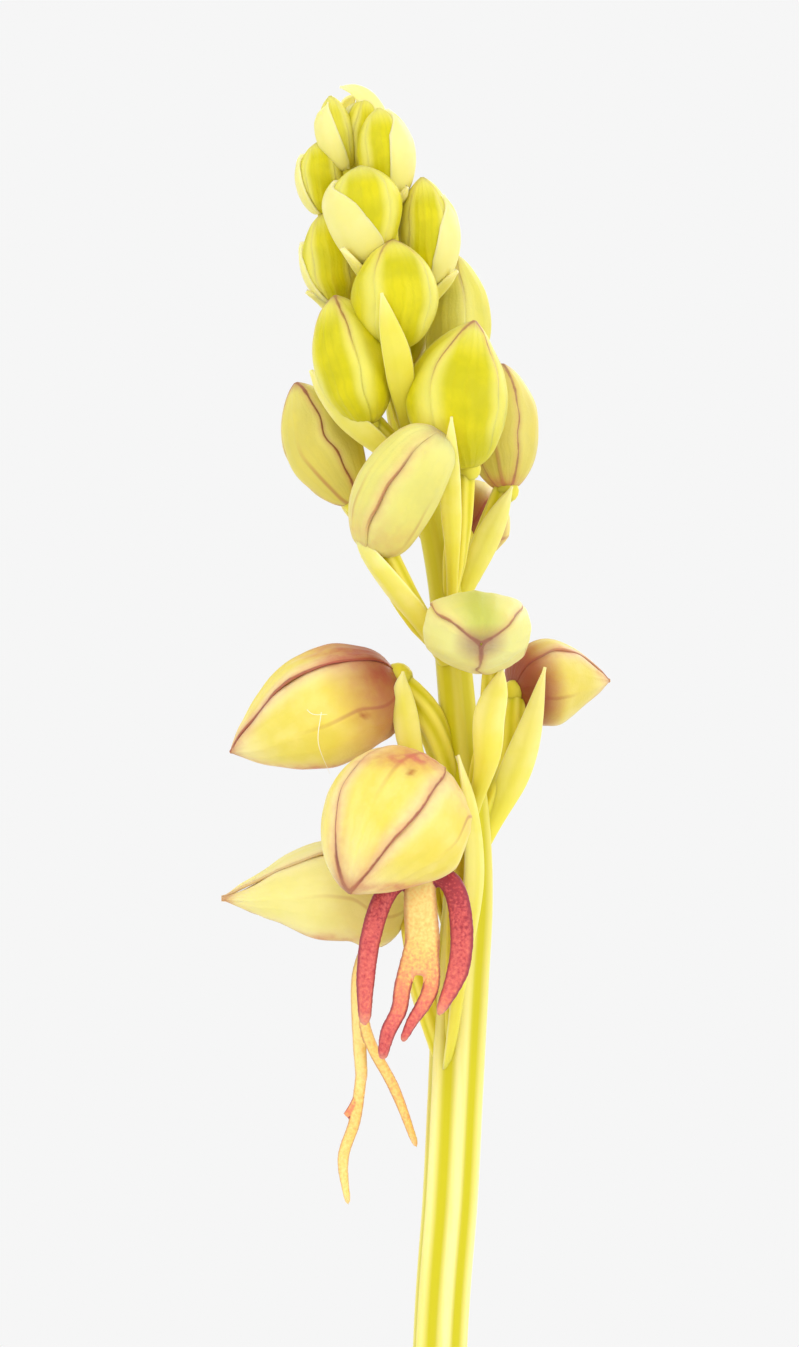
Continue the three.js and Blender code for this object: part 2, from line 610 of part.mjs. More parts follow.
// A rosette leaf: clasping the stem at its foot, then a keeled blade that arches out and down.
function leaf(spec) {
  const turn = degrees(spec.heading);
  const out = new THREE.Vector3(Math.cos(turn), Math.sin(turn), 0);
  const foot = SOIL.top + SOIL.crown + spec.start;
  const place = (radius, height) => out.clone().multiplyScalar(radius).setZ(foot + height);
  const line = [
    place(LEAF.clasp, 0), place(LEAF.clasp + LEAF.lean, LEAF.collar),
    ...LEAF_LINE.map(({ reach, rise, fall }) => (
      place(reach * spec.length, LEAF.collar + rise * spec.rise - fall * spec.fall)
    )),
  ];
  const foldAt = (share) => (
    THREE.MathUtils.lerp(LEAF.wrap, LEAF.fold, THREE.MathUtils.smoothstep(share, ...LEAF.folds))
  );
  const claspWidth = 2 * LEAF.clasp * degrees(LEAF.wrap);
  const widthAt = (share) => {
    const opening = THREE.MathUtils.smoothstep(share, ...LEAF.opens);
    const full = THREE.MathUtils.lerp(claspWidth, spec.width, opening);
    return Math.max(LEAF.tip, full * closing(share, LEAF));
  };
  return blade(line, {
    facing: out, thickness: LEAF.thickness, stations: LEAF.stations, across: LEAF.across,
    width: widthAt,
    cup: (share) => degrees(foldAt(share)),
    wave: (side, share) => LEAF.wave * side ** 2 * Math.sin(share * LEAF.waves + spec.heading),
  });
}

// A stem leaf: a sheath wrapped round the stem that opens into a short upright blade.
function sheath(spec) {
  const turn = degrees(spec.heading);
  const out = new THREE.Vector3(Math.cos(turn), Math.sin(turn), 0);
  const foot = SOIL.top + spec.start;
  const place = (height, away) => stemCentre(foot + height).addScaledVector(out, spec.clasp + away);
  const line = SHEATH_LINE.map(([share, away]) => place(share * spec.length, away));
  const wrap = degrees(SHEATH.wrap);
  const opened = (share) => THREE.MathUtils.smoothstep(share, ...SHEATH.opens);
  const wrapped = 2 * wrap * spec.clasp;
  const widthAt = (share) => {
    const free = spec.width * closing(share, SHEATH);
    return Math.max(SHEATH.tip, THREE.MathUtils.lerp(wrapped, free, opened(share)));
  };
  return blade(line, {
    facing: out, thickness: SHEATH.thickness, stations: SHEATH.stations, across: SHEATH.across,
    width: widthAt,
    cup: (share) => THREE.MathUtils.lerp(wrap, degrees(SHEATH.fold), opened(share)),
  });
}

// The pot's inside: the radius of its floor, and the foot and band of its wall. The floor's corner is cut.
const FLOOR_CORNER = { out: 1, up: 1.5 };
const INSIDE = {
  floor: POT.footRadius - POT.wall - FLOOR_CORNER.out,
  foot: [POT.footRadius - POT.wall + FLOOR_CORNER.out, POT.floor + FLOOR_CORNER.up],
  band: [POT.neckRadius - POT.wall + POT.rimStep, POT.height - POT.rimBand],
};

function pot() {
  const { height, footRadius, neckRadius, rimRadius, rimStep, wall, floor, bevel } = POT;
  const band = INSIDE.band[1];
  const profile = [
    [0, 0], [footRadius - bevel, 0], [footRadius, bevel],
    [neckRadius, band - 1], [neckRadius + rimStep, band + 1],
    [rimRadius, height - bevel], [rimRadius - bevel, height], [rimRadius - wall + bevel, height],
    [rimRadius - wall, height - bevel], INSIDE.band, INSIDE.foot, [INSIDE.floor, floor], [0, floor],
  ].map(([r, z]) => new THREE.Vector2(r, z));
  const body = solidFromGeometry(new THREE.LatheGeometry(profile, POT.facets).rotateX(Math.PI / 2));
  return Array.from({ length: POT.holes }, (_, i) => {
    const turn = ((i + 0.25) / POT.holes) * 2 * Math.PI;
    const cutter = new THREE.CylinderGeometry(POT.holeRadius, POT.holeRadius, 4 * floor, POT.holeFacets);
    const hole = cutter.rotateX(Math.PI / 2);
    hole.translate(POT.holeCircle * Math.cos(turn), POT.holeCircle * Math.sin(turn), 0);
    return solidFromGeometry(hole);
  }).reduce((clay, hole) => clay.subtract(hole), body);
}

// Smooth low lumps, the same at every build.
function lumpAt(x, y) {
  const broad = Math.sin(0.55 * x + 0.3 * y) * Math.cos(0.47 * y - 0.2 * x);
  return broad + 0.6 * Math.sin(1.1 * x - 0.9 * y);
}

// Soil fills the pot to a low mound, with a hole that the buried plant stands in.
function soil(buried) {
  const [foot, low] = INSIDE.foot;
  const [neck, band] = INSIDE.band;
  const lip = POT.rimRadius - POT.wall;
  const rim = THREE.MathUtils.lerp(neck, lip, (SOIL.top - band) / (POT.height - band)) - GAP;
  const profile = [
    [0, POT.floor + GAP], [INSIDE.floor - GAP, POT.floor + GAP],
    [foot - 1.5 * GAP, low + GAP], [neck - GAP, band],
  ].map(([r, z]) => new THREE.Vector2(r, z));
  for (let i = 0; i <= SOIL.rings; i++) {
    const share = 1 - i / SOIL.rings;
    profile.push(new THREE.Vector2(rim * share, SOIL.top + SOIL.crown * (1 - share) ** 1.5));
  }
  const geometry = new THREE.LatheGeometry(profile, POT.facets).rotateX(Math.PI / 2);
  const places = geometry.attributes.position;
  for (let i = 0; i < places.count; i++) {
    const [x, y, z] = [places.getX(i), places.getY(i), places.getZ(i)];
    const fade = Math.max(0, 1 - (Math.hypot(x, y) / rim) ** 6);
    if (z >= SOIL.top) places.setZ(i, z + SOIL.lump * fade * lumpAt(x, y));
  }
  return buried.reduce((earth, piece) => earth.subtract(piece), solidFromGeometry(geometry));
}

// Two tubers under the stem, with a crown between them and a few thick roots above them.
function tubers(grow = 0) {
  const crown = spot(0, 0, SOIL.top - SCAPE.buried - CROWN.below);
  const parts = [-1, 1].map((way) => {
    const top = crown.clone().add(spot(TUBER.top * way, 0, CROWN.height / 5));
    const end = top.clone().add(spot(TUBER.spread * way, TUBER.aside * way, -TUBER.length));
    const middle = top.clone().lerp(end, 0.5).add(spot(TUBER.bow * way, 0, 0));
    return strand([top, middle, end], TUBER.shape.map((share) => share * TUBER.radius), 8, { grow });
  });
  for (let i = 0; i < ROOT.count; i++) {
    const turn = ((i + 0.5) / ROOT.count) * 2 * Math.PI;
    const reach = (share, drop) => crown.clone().add(
      spot(Math.cos(turn) * ROOT.length * share, Math.sin(turn) * ROOT.length * share, -drop * ROOT.drop),
    );
    const line = [reach(0, 0.05), reach(0.5, 0.2), reach(1, 1)];
    parts.push(strand(line, ROOT.shape.map((share) => share * ROOT.radius), 6, { facing: UP, grow }));
  }
  const foot = crown.clone().setZ(crown.z - CROWN.height);
  parts.push(strand([foot, crown, spot(0, 0, SOIL.top - SCAPE.buried - GAP)], CROWN.radii, 8, { grow }));
  return parts.reduce((whole, part) => whole.add(part));
}

// The biggest body of a solid, without the scraps that a cut leaves or the hollows that a join seals.
function biggest(solid) {
  return solid.decompose().reduce((best, body) => (body.volume() > best.volume() ? body : best));
}

const boxesMeet = (one, other) => [0, 1, 2].every(
  (axis) => one.min[axis] < other.max[axis] && other.min[axis] < one.max[axis],
);

function meshOf(name, solid, colour) {
  const { vertProperties, triVerts } = biggest(solid.simplify(SLIVER)).getMesh();
  const geometry = new THREE.BufferGeometry();
  geometry.setAttribute("position", new THREE.BufferAttribute(new Float32Array(vertProperties), 3));
  geometry.setIndex(new THREE.BufferAttribute(new Uint32Array(triVerts), 1));
  geometry.computeVertexNormals();
  const material = new THREE.MeshStandardMaterial({ color: colour, roughness: 0.6, metalness: 0 });
  const mesh = new THREE.Mesh(geometry, material);
  mesh.name = name;
  return mesh;
}

const budSolid = (bud, grow) => head(bud, { grow }).add(ovary(bud, grow)).add(bract(bud, grow));
const stalkSolid = (flower, grow) => ovary(flower, grow).add(bract(flower, grow));

// The spike's pieces in the order in which they keep their shape: where two would cross, the later one
// is cut clear of the earlier one.
const flowerPieces = (flower) => [
  { name: `${flower.name}_hood`, make: (grow) => hood(flower, grow), colour: COLOURS.hood },
  { name: `${flower.name}_stalk`, make: (grow) => stalkSolid(flower, grow), colour: COLOURS.stalk },
];
const budPiece = (bud) => ({ name: bud.name, make: (grow) => budSolid(bud, grow), colour: COLOURS.bud });
const FRONT_FIRST = ["10", "13", "14", "07", "04", "09", "05", "02", "12", "08", "11", "06", "03", "01"];
const spike = [
  { name: "stem", make: stem, colour: COLOURS.stem },
  ...flowerPieces(FLOWERS[2]),
  ...LIPS.map((spec) => ({ name: spec.name, make: (grow) => lip(spec, grow), colour: COLOURS.lip })),
  ...FRONT_FIRST.map((number) => budPiece(BUDS.find((bud) => bud.name === `bud_${number}`))),
  { name: "spike_tip", make: spikeTip, colour: COLOURS.bud },
  ...[0, 3, 1, 4, 5].flatMap((i) => flowerPieces(FLOWERS[i])),
  ...BUDS.slice(14).map(budPiece),
];

const potted = new THREE.Group();
potted.name = "potted_man_orchid";

const placed = [];
for (const { name, make, colour } of spike) {
  let solid = make(0);
  for (const earlier of placed) {
    if (boxesMeet(solid.boundingBox(), earlier.boundingBox())) solid = biggest(solid.subtract(earlier));
  }
  placed.push(make(GAP));
  potted.add(meshOf(name, solid, colour));
}

potted.add(meshOf("pot", pot(), COLOURS.clay));
potted.add(meshOf("soil", soil([stem(GAP), tubers(GAP)]), COLOURS.soil));
potted.add(meshOf("tubers", tubers(), COLOURS.tuber));
for (const spec of LEAVES) potted.add(meshOf(spec.name, leaf(spec), COLOURS.leaf));
for (const spec of SHEATHS) potted.add(meshOf(spec.name, sheath(spec), COLOURS.leaf));

export default potted;
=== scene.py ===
import math

import bpy
import numpy as np
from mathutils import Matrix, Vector, noise


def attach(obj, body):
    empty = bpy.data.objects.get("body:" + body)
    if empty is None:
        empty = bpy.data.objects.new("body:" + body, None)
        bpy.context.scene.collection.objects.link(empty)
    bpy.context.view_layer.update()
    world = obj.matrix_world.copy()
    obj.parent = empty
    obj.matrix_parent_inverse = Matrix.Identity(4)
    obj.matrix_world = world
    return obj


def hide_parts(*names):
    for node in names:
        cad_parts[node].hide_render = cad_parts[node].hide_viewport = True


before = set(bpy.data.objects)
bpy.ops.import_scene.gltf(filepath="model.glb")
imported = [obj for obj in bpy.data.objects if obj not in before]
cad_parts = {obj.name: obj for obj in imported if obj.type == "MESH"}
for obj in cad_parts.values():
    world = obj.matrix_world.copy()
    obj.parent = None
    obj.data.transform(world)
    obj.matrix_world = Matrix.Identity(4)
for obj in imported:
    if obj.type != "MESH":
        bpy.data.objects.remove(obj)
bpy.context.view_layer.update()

# Lengths are millimetres until a mesh is made, and the mesh is in metres.
MM = 0.001
ROOT = "root"

# The picture that the spike was measured on: its size, the height it takes in, the column over the
# pot's axis, and the row and the height of the spike's tip.
PICTURE_COLUMNS, PICTURE_ROWS = 799, 1347
PICTURE_HEIGHT = 56.6
AXIS_COLUMN, TIP_ROW = 425, 85
TIP_HEIGHT = 237
MM_PER_ROW = PICTURE_HEIGHT / PICTURE_ROWS

SOIL_TOP = 61
SOIL_CROWN = 2.2


def at(column, row, depth=0):
    """The place of a picture column and row, at a depth behind the pot's axis."""
    x = (column - AXIS_COLUMN) * MM_PER_ROW
    z = TIP_HEIGHT - (row - TIP_ROW) * MM_PER_ROW
    return np.array([x, depth, z])


def toward(x, y, z):
    direction = np.array([x, y, z], float)
    return direction / np.linalg.norm(direction)


FRONT = toward(0, -1, 0)
BACK = toward(0, 1, 0)
UP = toward(0, 0, 1)

# What a bud or flower has unless its own entry says otherwise. Angles are in degrees, and 0 is the
# middle of the back sepal.
PLAIN = dict(
    ovary=0.45,  # radius of the stalk
    facing=FRONT,  # where the back sepal faces
    roll=0,  # how far the head is turned about its own line
    belly=0.5,  # where along the head it is widest
    blunt=0.5,  # how full its base is: below 0.5 is rounder
    point=0.7,  # the same for its tip, or one value for each side
    corners=((40, 0.03), (-40, 0.03), (180, 0.03)),  # ridges along it: angle and height
    dent=0,  # how deep the back sepal's middle is pressed in
    gape=0,  # angle of the gap below the hood, each side
    back_sepal=40,  # half the angle that the back sepal covers
    wiggle=2,  # how much the sepals' edges stray from straight
    away=None,  # where the bract stands, and None is away from the stem
    bract_width=None,
    deep_bract=0,  # how deep the bract's colour is
    wrap=None,  # a young bract round the bud: angles of its two edges, and how far up it goes
    blush=0.05,  # how red the sepals' edges and veins are
    red=(0, 1),  # the part of the head's length that the red is on
    base_red=0,  # dark red at the neck: partly its own red, partly painted shade where the head meets its stalk
    wash=0,  # soft red near the edges
    tan=0,  # brown over the whole skin
    pale=0,
    spot=0,  # green in the back sepal's middle
    specks=(),  # small brown marks: column and row
    stains=(),  # red patches: column, row, half width, half height and strength
)


def grown(name, wide, deep, head, stalk=(), bract=(), **looks):
    """A bud or flower: its name, width and depth, and the lines that were measured on the picture.

    The head's line runs through its neck, middle and tip, and the stalk's starts on the stem. A bract
    without a line takes the usual one.
    """
    lines = {"head": head, "stalk": stalk, "bract": bract}
    places = {part: [at(*point) for point in line] for part, line in lines.items()}
    return {**PLAIN, "name": name, "wide": wide, "deep": deep, **places, **looks}


BUDS = [
    grown("bud_01", 1.3, 1.3, head=[(347, 172, -0.8), (337, 134, -0.9), (330, 97, -0.8)],
          stalk=[(358, 195, -0.3), (352, 180, -0.6), (346, 165, -0.8)],
          wrap=dict(edge=[25, 12, 0, -15], back=-165, tip=0.9), ovary=0.3, away=BACK, pale=0.1),
    grown("bud_02", 2.1, 2.0, head=[(390, 204, -1.3), (384, 156, -1.6), (379, 110, -1.4)],
          stalk=[(374, 222, -0.35), (384, 210, -0.8), (389, 195, -1.3)],
          wrap=dict(edge=[2, 9, 16, 55], back=165, tip=0.97), ovary=0.34, away=toward(0.6, -0.8, 0),
          bract_width=0.85),
    grown("bud_03", 1.75, 1.7, head=[(326, 215, -0.5), (321, 178, -0.7), (318, 143, -0.6)],
          stalk=[(370, 240, -0.1), (348, 228, -0.3), (328, 208, -0.5)],
          wrap=dict(edge=[-30, -42, -55, -85], back=-165, tip=0.85), ovary=0.34, away=BACK),
    grown("bud_04", 3.0, 2.7, head=[(368, 269, -2.3), (365, 213, -2.9), (361, 169, -2.8)],
          stalk=[(383, 305, -0.45), (376, 284, -1.5), (368, 258, -2.3)],
          wrap=dict(edge=[60, 28, -12, -72], back=-165, tip=0.84), ovary=0.4, belly=0.55,
          away=toward(-0.6, -0.8, 0), bract_width=1.1),
    grown("bud_05", 2.25, 2.2, head=[(430, 288, -1.2), (427, 236, -1.6), (422, 179, -1.5)],
          stalk=[(391, 330, -0.3), (412, 310, -0.8), (429, 276, -1.3)],
          wrap=dict(edge=[0, 8, 26, 60], back=165, tip=0.82), ovary=0.4, away=toward(0.8, -0.6, 0),
          bract_width=0.9, blush=0.15),
    grown("bud_06", 2.2, 2.1, head=[(340, 305, -0.5), (331, 262, -0.8), (323, 214, -0.7)],
          stalk=[(392, 345, -0.1), (365, 330, -0.3), (341, 296, -0.5)],
          wrap=dict(edge=[-30, -48, -62, -90], back=-165, tip=0.75), ovary=0.4,
          away=toward(-0.9, -0.4, 0), bract_width=0.85, blush=0.15),
    grown("bud_07", 3.45, 3.2, head=[(392, 352, -2.8), (395, 299, -3.4), (392, 243, -3.2)],
          stalk=[(407, 445, -0.6), (400, 395, -1.9), (393, 340, -2.9)], bract=[(408, 450, -1.0),
          (404, 405, -3.2), (398, 365, -4.8), (389, 330, -5.3), (382, 298, -5.3)], roll=12, away=FRONT,
          bract_width=1.25, deep_bract=0.75, blush=0.6, red=(0.75, 1)),
    grown("bud_08", 2.5, 2.4, head=[(441, 388, 0.3), (459, 326, 0.3), (455, 254, 0.2)],
          stalk=[(405, 420, 0.1), (424, 405, 0.3), (443, 375, 0.3)], roll=-30, away=BACK, blush=0.35,
          red=(0.7, 1), pale=0.3),
    grown("bud_09", 3.0, 2.9, head=[(370, 426, -2.4), (352, 363, -3.0), (335, 298, -2.8)],
          stalk=[(415, 475, -0.5), (394, 449, -1.5), (367, 415, -2.5)], bract=[(415, 484, -0.9),
          (380, 452, -2.4), (346, 424, -2.8), (322, 394, -2.7), (312, 372, -2.4)], roll=-32,
          away=toward(-0.5, -0.75, -0.45), bract_width=1.6, blush=0.75, red=(0.65, 1)),
    grown("bud_10", 4.15, 3.9, head=[(468, 470, -2.5), (457, 399, -3.0), (474, 323, -2.9)],
          stalk=[(452, 605, -0.7), (458, 530, -1.7), (466, 455, -2.6)], bract=[(454, 612, -1.1),
          (452, 545, -2.9), (450, 495, -4.1), (450, 455, -5.0), (451, 420, -5.3)], ovary=0.5, roll=10,
          point=0.85, away=FRONT, bract_width=0.9, blush=0.85, red=(0.65, 1)),
    grown("bud_11", 2.95, 2.9, head=[(354, 503, 0.3), (322, 444, 0.4), (296, 382, 0.3)],
          stalk=[(425, 525, 0.2), (390, 524, 0.3), (346, 492, 0.3)], roll=-32, back_sepal=48, away=BACK,
          blush=1.0, tan=0.4, pale=0.3, wiggle=4),
    grown("bud_12", 2.95, 3.0, head=[(507, 490, 1.4), (502, 426, 1.9), (503, 362, 1.8)],
          stalk=[(458, 610, 0.5), (482, 548, 1.0), (508, 478, 1.5)], bract=[(459, 618, 0.1),
          (478, 562, 0.3), (497, 520, 0.6), (512, 486, 0.8)], ovary=0.5, roll=-12,
          away=toward(0.3, -0.9, 0), bract_width=1.2, blush=0.85, tan=0.5, pale=0.3,
          stains=[(500, 484, 1.4, 0.35, 0.6)]),
    grown("bud_13", 3.25, 3.1, head=[(374, 553, -3.6), (399, 492, -4.4), (441, 435, -5.0)],
          stalk=[(437, 655, -0.7), (405, 598, -2.6), (378, 536, -3.8)], bract=[(437, 664, -1.0),
          (419, 625, -2.8), (393, 592, -3.9), (367, 556, -4.4), (356, 528, -4.5)], ovary=0.55, roll=-55,
          point=0.34, blunt=0.3, red=(0.25, 0.8), away=toward(-0.5, -0.8, -0.3), bract_width=1.5,
          blush=0.8, pale=0.5, wash=0.35),
    grown("bud_14", 4.3, 3.1, head=[(489, 655, -2.0), (476, 630, -4.2), (480, 645, -7.0)],
          stalk=[(473, 805, -0.9), (489, 735, -1.7), (492, 660, -2.7)], bract=[(474, 812, -1.3),
          (485, 764, -2.5), (488, 718, -3.0), (496, 690, -3.2), (502, 668, -3.1)], ovary=0.5, facing=UP,
          away=FRONT, bract_width=1.4, blush=0.9, pale=0.6, back_sepal=52, spot=1.0, dent=0.12, blunt=0.3,
          point=0.42, wash=0.2, wiggle=3,
          corners=((52, 0.07), (-52, 0.07), (180, 0.08), (115, 0.02), (-115, 0.04))),
    grown("bud_15", 2.9, 2.8, head=[(424, 466, 1.5), (423, 410, 2.8), (420, 356, 2.9)],
          stalk=[(422, 485, 0.5), (424, 475, 1.0), (424, 455, 1.7)], facing=BACK, blush=0.6),
    grown("bud_16", 2.6, 2.5, head=[(402, 370, 1.2), (398, 318, 2.3), (395, 266, 2.3)],
          stalk=[(404, 385, 0.4), (403, 377, 0.8), (402, 360, 1.4)], ovary=0.42, facing=BACK, blush=0.4),
    grown("bud_17", 2.1, 2.0, head=[(380, 287, 1.1), (374, 240, 1.95), (371, 196, 1.9)],
          stalk=[(386, 302, 0.35), (383, 294, 0.7), (379, 278, 1.2)], ovary=0.38, facing=BACK, blush=0.2),
    grown("bud_18", 1.6, 1.5, head=[(363, 214, 0.8), (357, 173, 1.3), (353, 136, 1.3)],
          stalk=[(370, 230, 0.3), (367, 222, 0.6), (362, 206, 0.9)], ovary=0.33, facing=BACK),
]
FLOWERS = [
    grown("flower_1", 5.0, 5.0, head=[(398, 678, -0.8), (317, 716, -0.9), (230, 752, -0.9)],
          stalk=[(445, 800, -0.4), (431, 724, -0.7), (400, 680, -0.8)], bract=[(443, 812, -0.9),
          (417, 762, -1.6), (406, 718, -2.0), (402, 690, -2.1), (403, 672, -1.9)], ovary=0.62,
          facing=toward(0.3, -0.1, 1), belly=0.44, point=0.95, away=FRONT, bract_width=1.15, blush=1.0,
          gape=30, wash=0.5, base_red=0.9, wiggle=2, specks=[(364, 714)],
          stains=[(345, 654, 1.9, 0.4, 0.8), (386, 672, 0.7, 0.6, 0.9), (330, 770, 1.9, 0.25, 0.9)]),
    grown("flower_2", 3.6, 3.4, head=[(515, 692, 2.2), (556, 682, 3.2), (612, 681, 4.0)],
          stalk=[(487, 835, 0.6), (507, 765, 1.3), (517, 700, 2.1)], bract=[(488, 850, 0.3),
          (504, 802, 0.5), (520, 764, 0.7), (533, 722, 0.9), (545, 667, 0.8)], ovary=0.5, facing=UP,
          belly=0.42, point=1.0, away=toward(0.3, -0.9, 0), bract_width=1.5, blush=0.7, base_red=1.0,
          wash=0.6, tan=0.35, specks=[(527, 688)], stains=[(524, 662, 0.5, 0.7, 0.7)]),
    grown("flower_3", 6.0, 4.6, head=[(436, 775, -2.4), (397, 820, -4.3), (350, 890, -6.2)],
          stalk=[(444, 1062, -1.0), (458, 930, -1.9), (462, 845, -2.0), (441, 776, -2.4)],
          bract=[(444, 1068, -1.2), (462, 975, -2.3), (474, 905, -2.7), (476, 855, -2.8),
          (470, 800, -2.6), (457, 755, -2.3)], ovary=0.5, facing=FRONT, roll=26, back_sepal=34, belly=0.5,
          blunt=0.42, gape=58, wash=0.5, wiggle=1.2, specks=[(411, 771)],
          stains=[(416, 757, 1.9, 0.38, 1.0), (400, 884, 1.9, 0.2, 0.8)], away=toward(0.7, -0.7, 0),
          bract_width=1.3, deep_bract=0.3, blush=1.0, point=(1.05, 0.6)),
    # Flower_4's pale share is partly its own paler colour and partly painted light that makes up for the
    # shade flower_3 casts on it.
    grown("flower_4", 5.2, 4.7, head=[(407, 906, 0.5), (318, 899, 0.8), (221, 899, 0.8)],
          stalk=[(437, 1078, -0.2), (424, 985, -0.3), (408, 912, 0.4)], bract=[(438, 1080, 0.5),
          (424, 1000, 1.0), (417, 950, 1.6), (414, 905, 1.9)], ovary=0.5, facing=UP, belly=0.42,
          point=1.35, gape=45, pale=0.55, wash=0.12, stains=[(222, 900, 0.5, 0.4, 0.6),
          (300, 938, 2.6, 0.22, 0.7)], away=toward(-0.2, 1, 0), bract_width=1.2, blush=0.42),
    grown("flower_5", 3.8, 3.4, head=[(462, 536, 2.6), (464, 520, 4.8), (462, 544, 7.8)],
          stalk=[(449, 645, 0.7), (457, 585, 1.8), (462, 532, 2.8)], ovary=0.5, facing=UP, belly=0.45,
          point=0.9, blush=1.0, base_red=1.0),
    grown("flower_6", 5.2, 4.4, head=[(440, 828, 2.8), (426, 812, 5.2), (408, 838, 9.0)],
          stalk=[(459, 970, 1.1), (452, 885, 2.0), (440, 824, 3.0)], ovary=0.5, facing=UP, belly=0.45,
          point=0.9, blush=1.0),
]

# The lips: strands with their widths from root to tip. warm runs from yellow at 0 to deep red at 1.
LIPS = [
    dict(name="flower_3_lip", thickness=0.62, voxel=0.055, grain=1, strands=[
        dict(line=[(420, 862, -3.7), (420, 900, -4.0), (422, 940, -4.1), (418, 972, -4.1)],
             width=[1.25, 1.4, 1.5, 1.55], warm=[0.02, 0.08, 0.18, 0.38]),
        dict(line=[(414, 866, -3.7), (387, 890, -4.0), (372, 930, -4.2), (366, 975, -4.2),
             (365, 1022, -4.0)], width=[0.85, 0.92, 0.9, 0.8, 0.5], warm=[0.92, 0.92, 0.84, 0.78, 0.66]),
        dict(line=[(426, 866, -3.7), (452, 884, -4.0), (461, 925, -4.2), (457, 968, -4.2),
             (438, 1012, -4.0)], width=[0.85, 0.96, 1.0, 0.95, 0.4], warm=[0.97, 1.0, 0.88, 0.78, 0.62]),
        dict(line=[(413, 945, -4.1), (403, 982, -4.1), (399, 1006, -4.1), (388, 1029, -4.1),
             (382, 1056, -4.0)], width=[0.8, 0.74, 0.7, 0.66, 0.4], warm=[0.25, 0.45, 0.62, 0.8, 0.85]),
        dict(line=[(429, 945, -4.1), (431, 980, -4.1), (423, 1001, -4.1), (412, 1018, -4.1),
             (402, 1038, -4.0)], width=[0.8, 0.72, 0.64, 0.5, 0.3], warm=[0.25, 0.42, 0.6, 0.75, 0.8]),
    ]),
    dict(name="flower_4_lip", thickness=0.5, voxel=0.07, grain=0.3, strands=[
        dict(line=[(376, 925, 0.6), (360, 975, 0.7), (359, 1030, 0.7), (362, 1085, 0.7)],
             width=[0.6, 0.72, 0.62, 0.52], warm=[0.02, 0.02, 0.0, 0.04]),
        dict(line=[(362, 1070, 0.7), (355, 1120, 0.7), (343, 1160, 0.7), (348, 1206, 0.7)],
             width=[0.5, 0.52, 0.5, 0.26], warm=[0.04, 0.2, 0.1, 0.08]),
        dict(line=[(360, 1000, 0.7), (370, 1042, 0.3), (395, 1090, 0.1), (417, 1148, 0)],
             width=[0.42, 0.5, 0.48, 0.3], warm=[0.05, 0.16, 0.24, 0.2]),
        dict(line=[(360, 1095, 0.7), (353, 1108, 0.7), (345, 1117, 0.7)], width=[0.45, 0.42, 0.28],
             warm=[0.25, 0.42, 0.5]),
    ]),
]

# The stem's middle line and its radius, from its foot in the soil to the tip of the spike.
STEM = [
    ((0, 0, 49), 1.75), ((0, 0, 60), 1.75), ((-0.1, 0.1, 74), 1.7), ((-0.5, 0.3, 92), 1.55),
    ((-0.9, 0.5, 115), 1.4), ((-0.7, 0.5, 138), 1.28), ((-0.1, 0.3, 158), 1.2),
    ((0.35, 0.1, 173), 1.14), (at(440, 1347), 1.12), (at(450, 1200), 1.13), (at(455, 1100), 1.13),
    (at(460, 1000), 1.15), (at(468, 900), 1.02), (at(468, 820), 0.9), (at(461, 750), 0.82),
    (at(452, 650), 0.76), (at(440, 560), 0.68), (at(416, 450), 0.58), (at(400, 350), 0.45),
    (at(377, 200), 0.34), (at(360, 150), 0.24),
]
STEM_LINE = np.array([point for point, _ in STEM])
STEM_RADII = [radius for _, radius in STEM]

LEAVES = [
    dict(name="leaf_1", heading=20, start=1, length=74, width=19, rise=16, fall=10),
    dict(name="leaf_2", heading=142, start=1, length=68, width=18, rise=18, fall=4),
    dict(name="leaf_3", heading=258, start=1, length=78, width=20, rise=15, fall=12),
    dict(name="leaf_4", heading=82, start=9, length=62, width=16, rise=26, fall=0),
    dict(name="leaf_5", heading=200, start=9, length=66, width=17, rise=28, fall=2),
    dict(name="leaf_6", heading=322, start=9, length=58, width=15, rise=30, fall=0),
]
SHEATHS = [
    dict(name="sheath_leaf_1", heading=250, start=20, length=44, width=9, clasp=2.35),
    dict(name="sheath_leaf_2", heading=75, start=54, length=32, width=7.2, clasp=2.05),
]


def smooth(value, low, high):
    """A share that rises smoothly from 0 at low to 1 at high."""
    share = np.clip((np.asarray(value, float) - low) / (high - low), 0, 1)
    return share * share * (3 - 2 * share)


def mixed(one, other, share):
    return one + (other - one) * share


def bump(value, width):
    """A smooth hill, 1 high at 0."""
    return np.exp(-((value / width) ** 2))


def around(count):
    """Angles evenly round a circle, in radians."""
    return np.linspace(0, 2 * np.pi, count, endpoint=False)


def spread(count):
    """Places from -1 to 1 across a blade, closer together near its edges."""
    return np.sin(np.linspace(-1, 1, count) * np.pi / 2)


def closing(shares, start, power):
    """1 up to the start, and from there down to 0 at the tip. A higher power is blunter."""
    return 1 - np.clip((shares - start) / (1 - start), 0, 1) ** power


def spline(points, shares):
    """Places on the curve through the points, which is even in the number of points."""
    points = np.array(points, float)
    padded = np.vstack([2 * points[0] - points[1], points, 2 * points[-1] - points[-2]])
    place = np.clip(shares, 0, 1) * (len(points) - 1)
    step = np.minimum(place.astype(int), len(points) - 2)
    w = (place - step)[:, None]
    before, start, end, after = (padded[step + k] for k in range(4))
    slope, next_slope = (end - before) / 2, (after - start) / 2
    hold = (2 * w**3 - 3 * w**2 + 1) * start + (3 * w**2 - 2 * w**3) * end
    return hold + (w**3 - 2 * w**2 + w) * slope + (w**3 - w**2) * next_slope


def values_along(values, shares):
    return np.interp(shares, np.linspace(0, 1, len(values)), values)


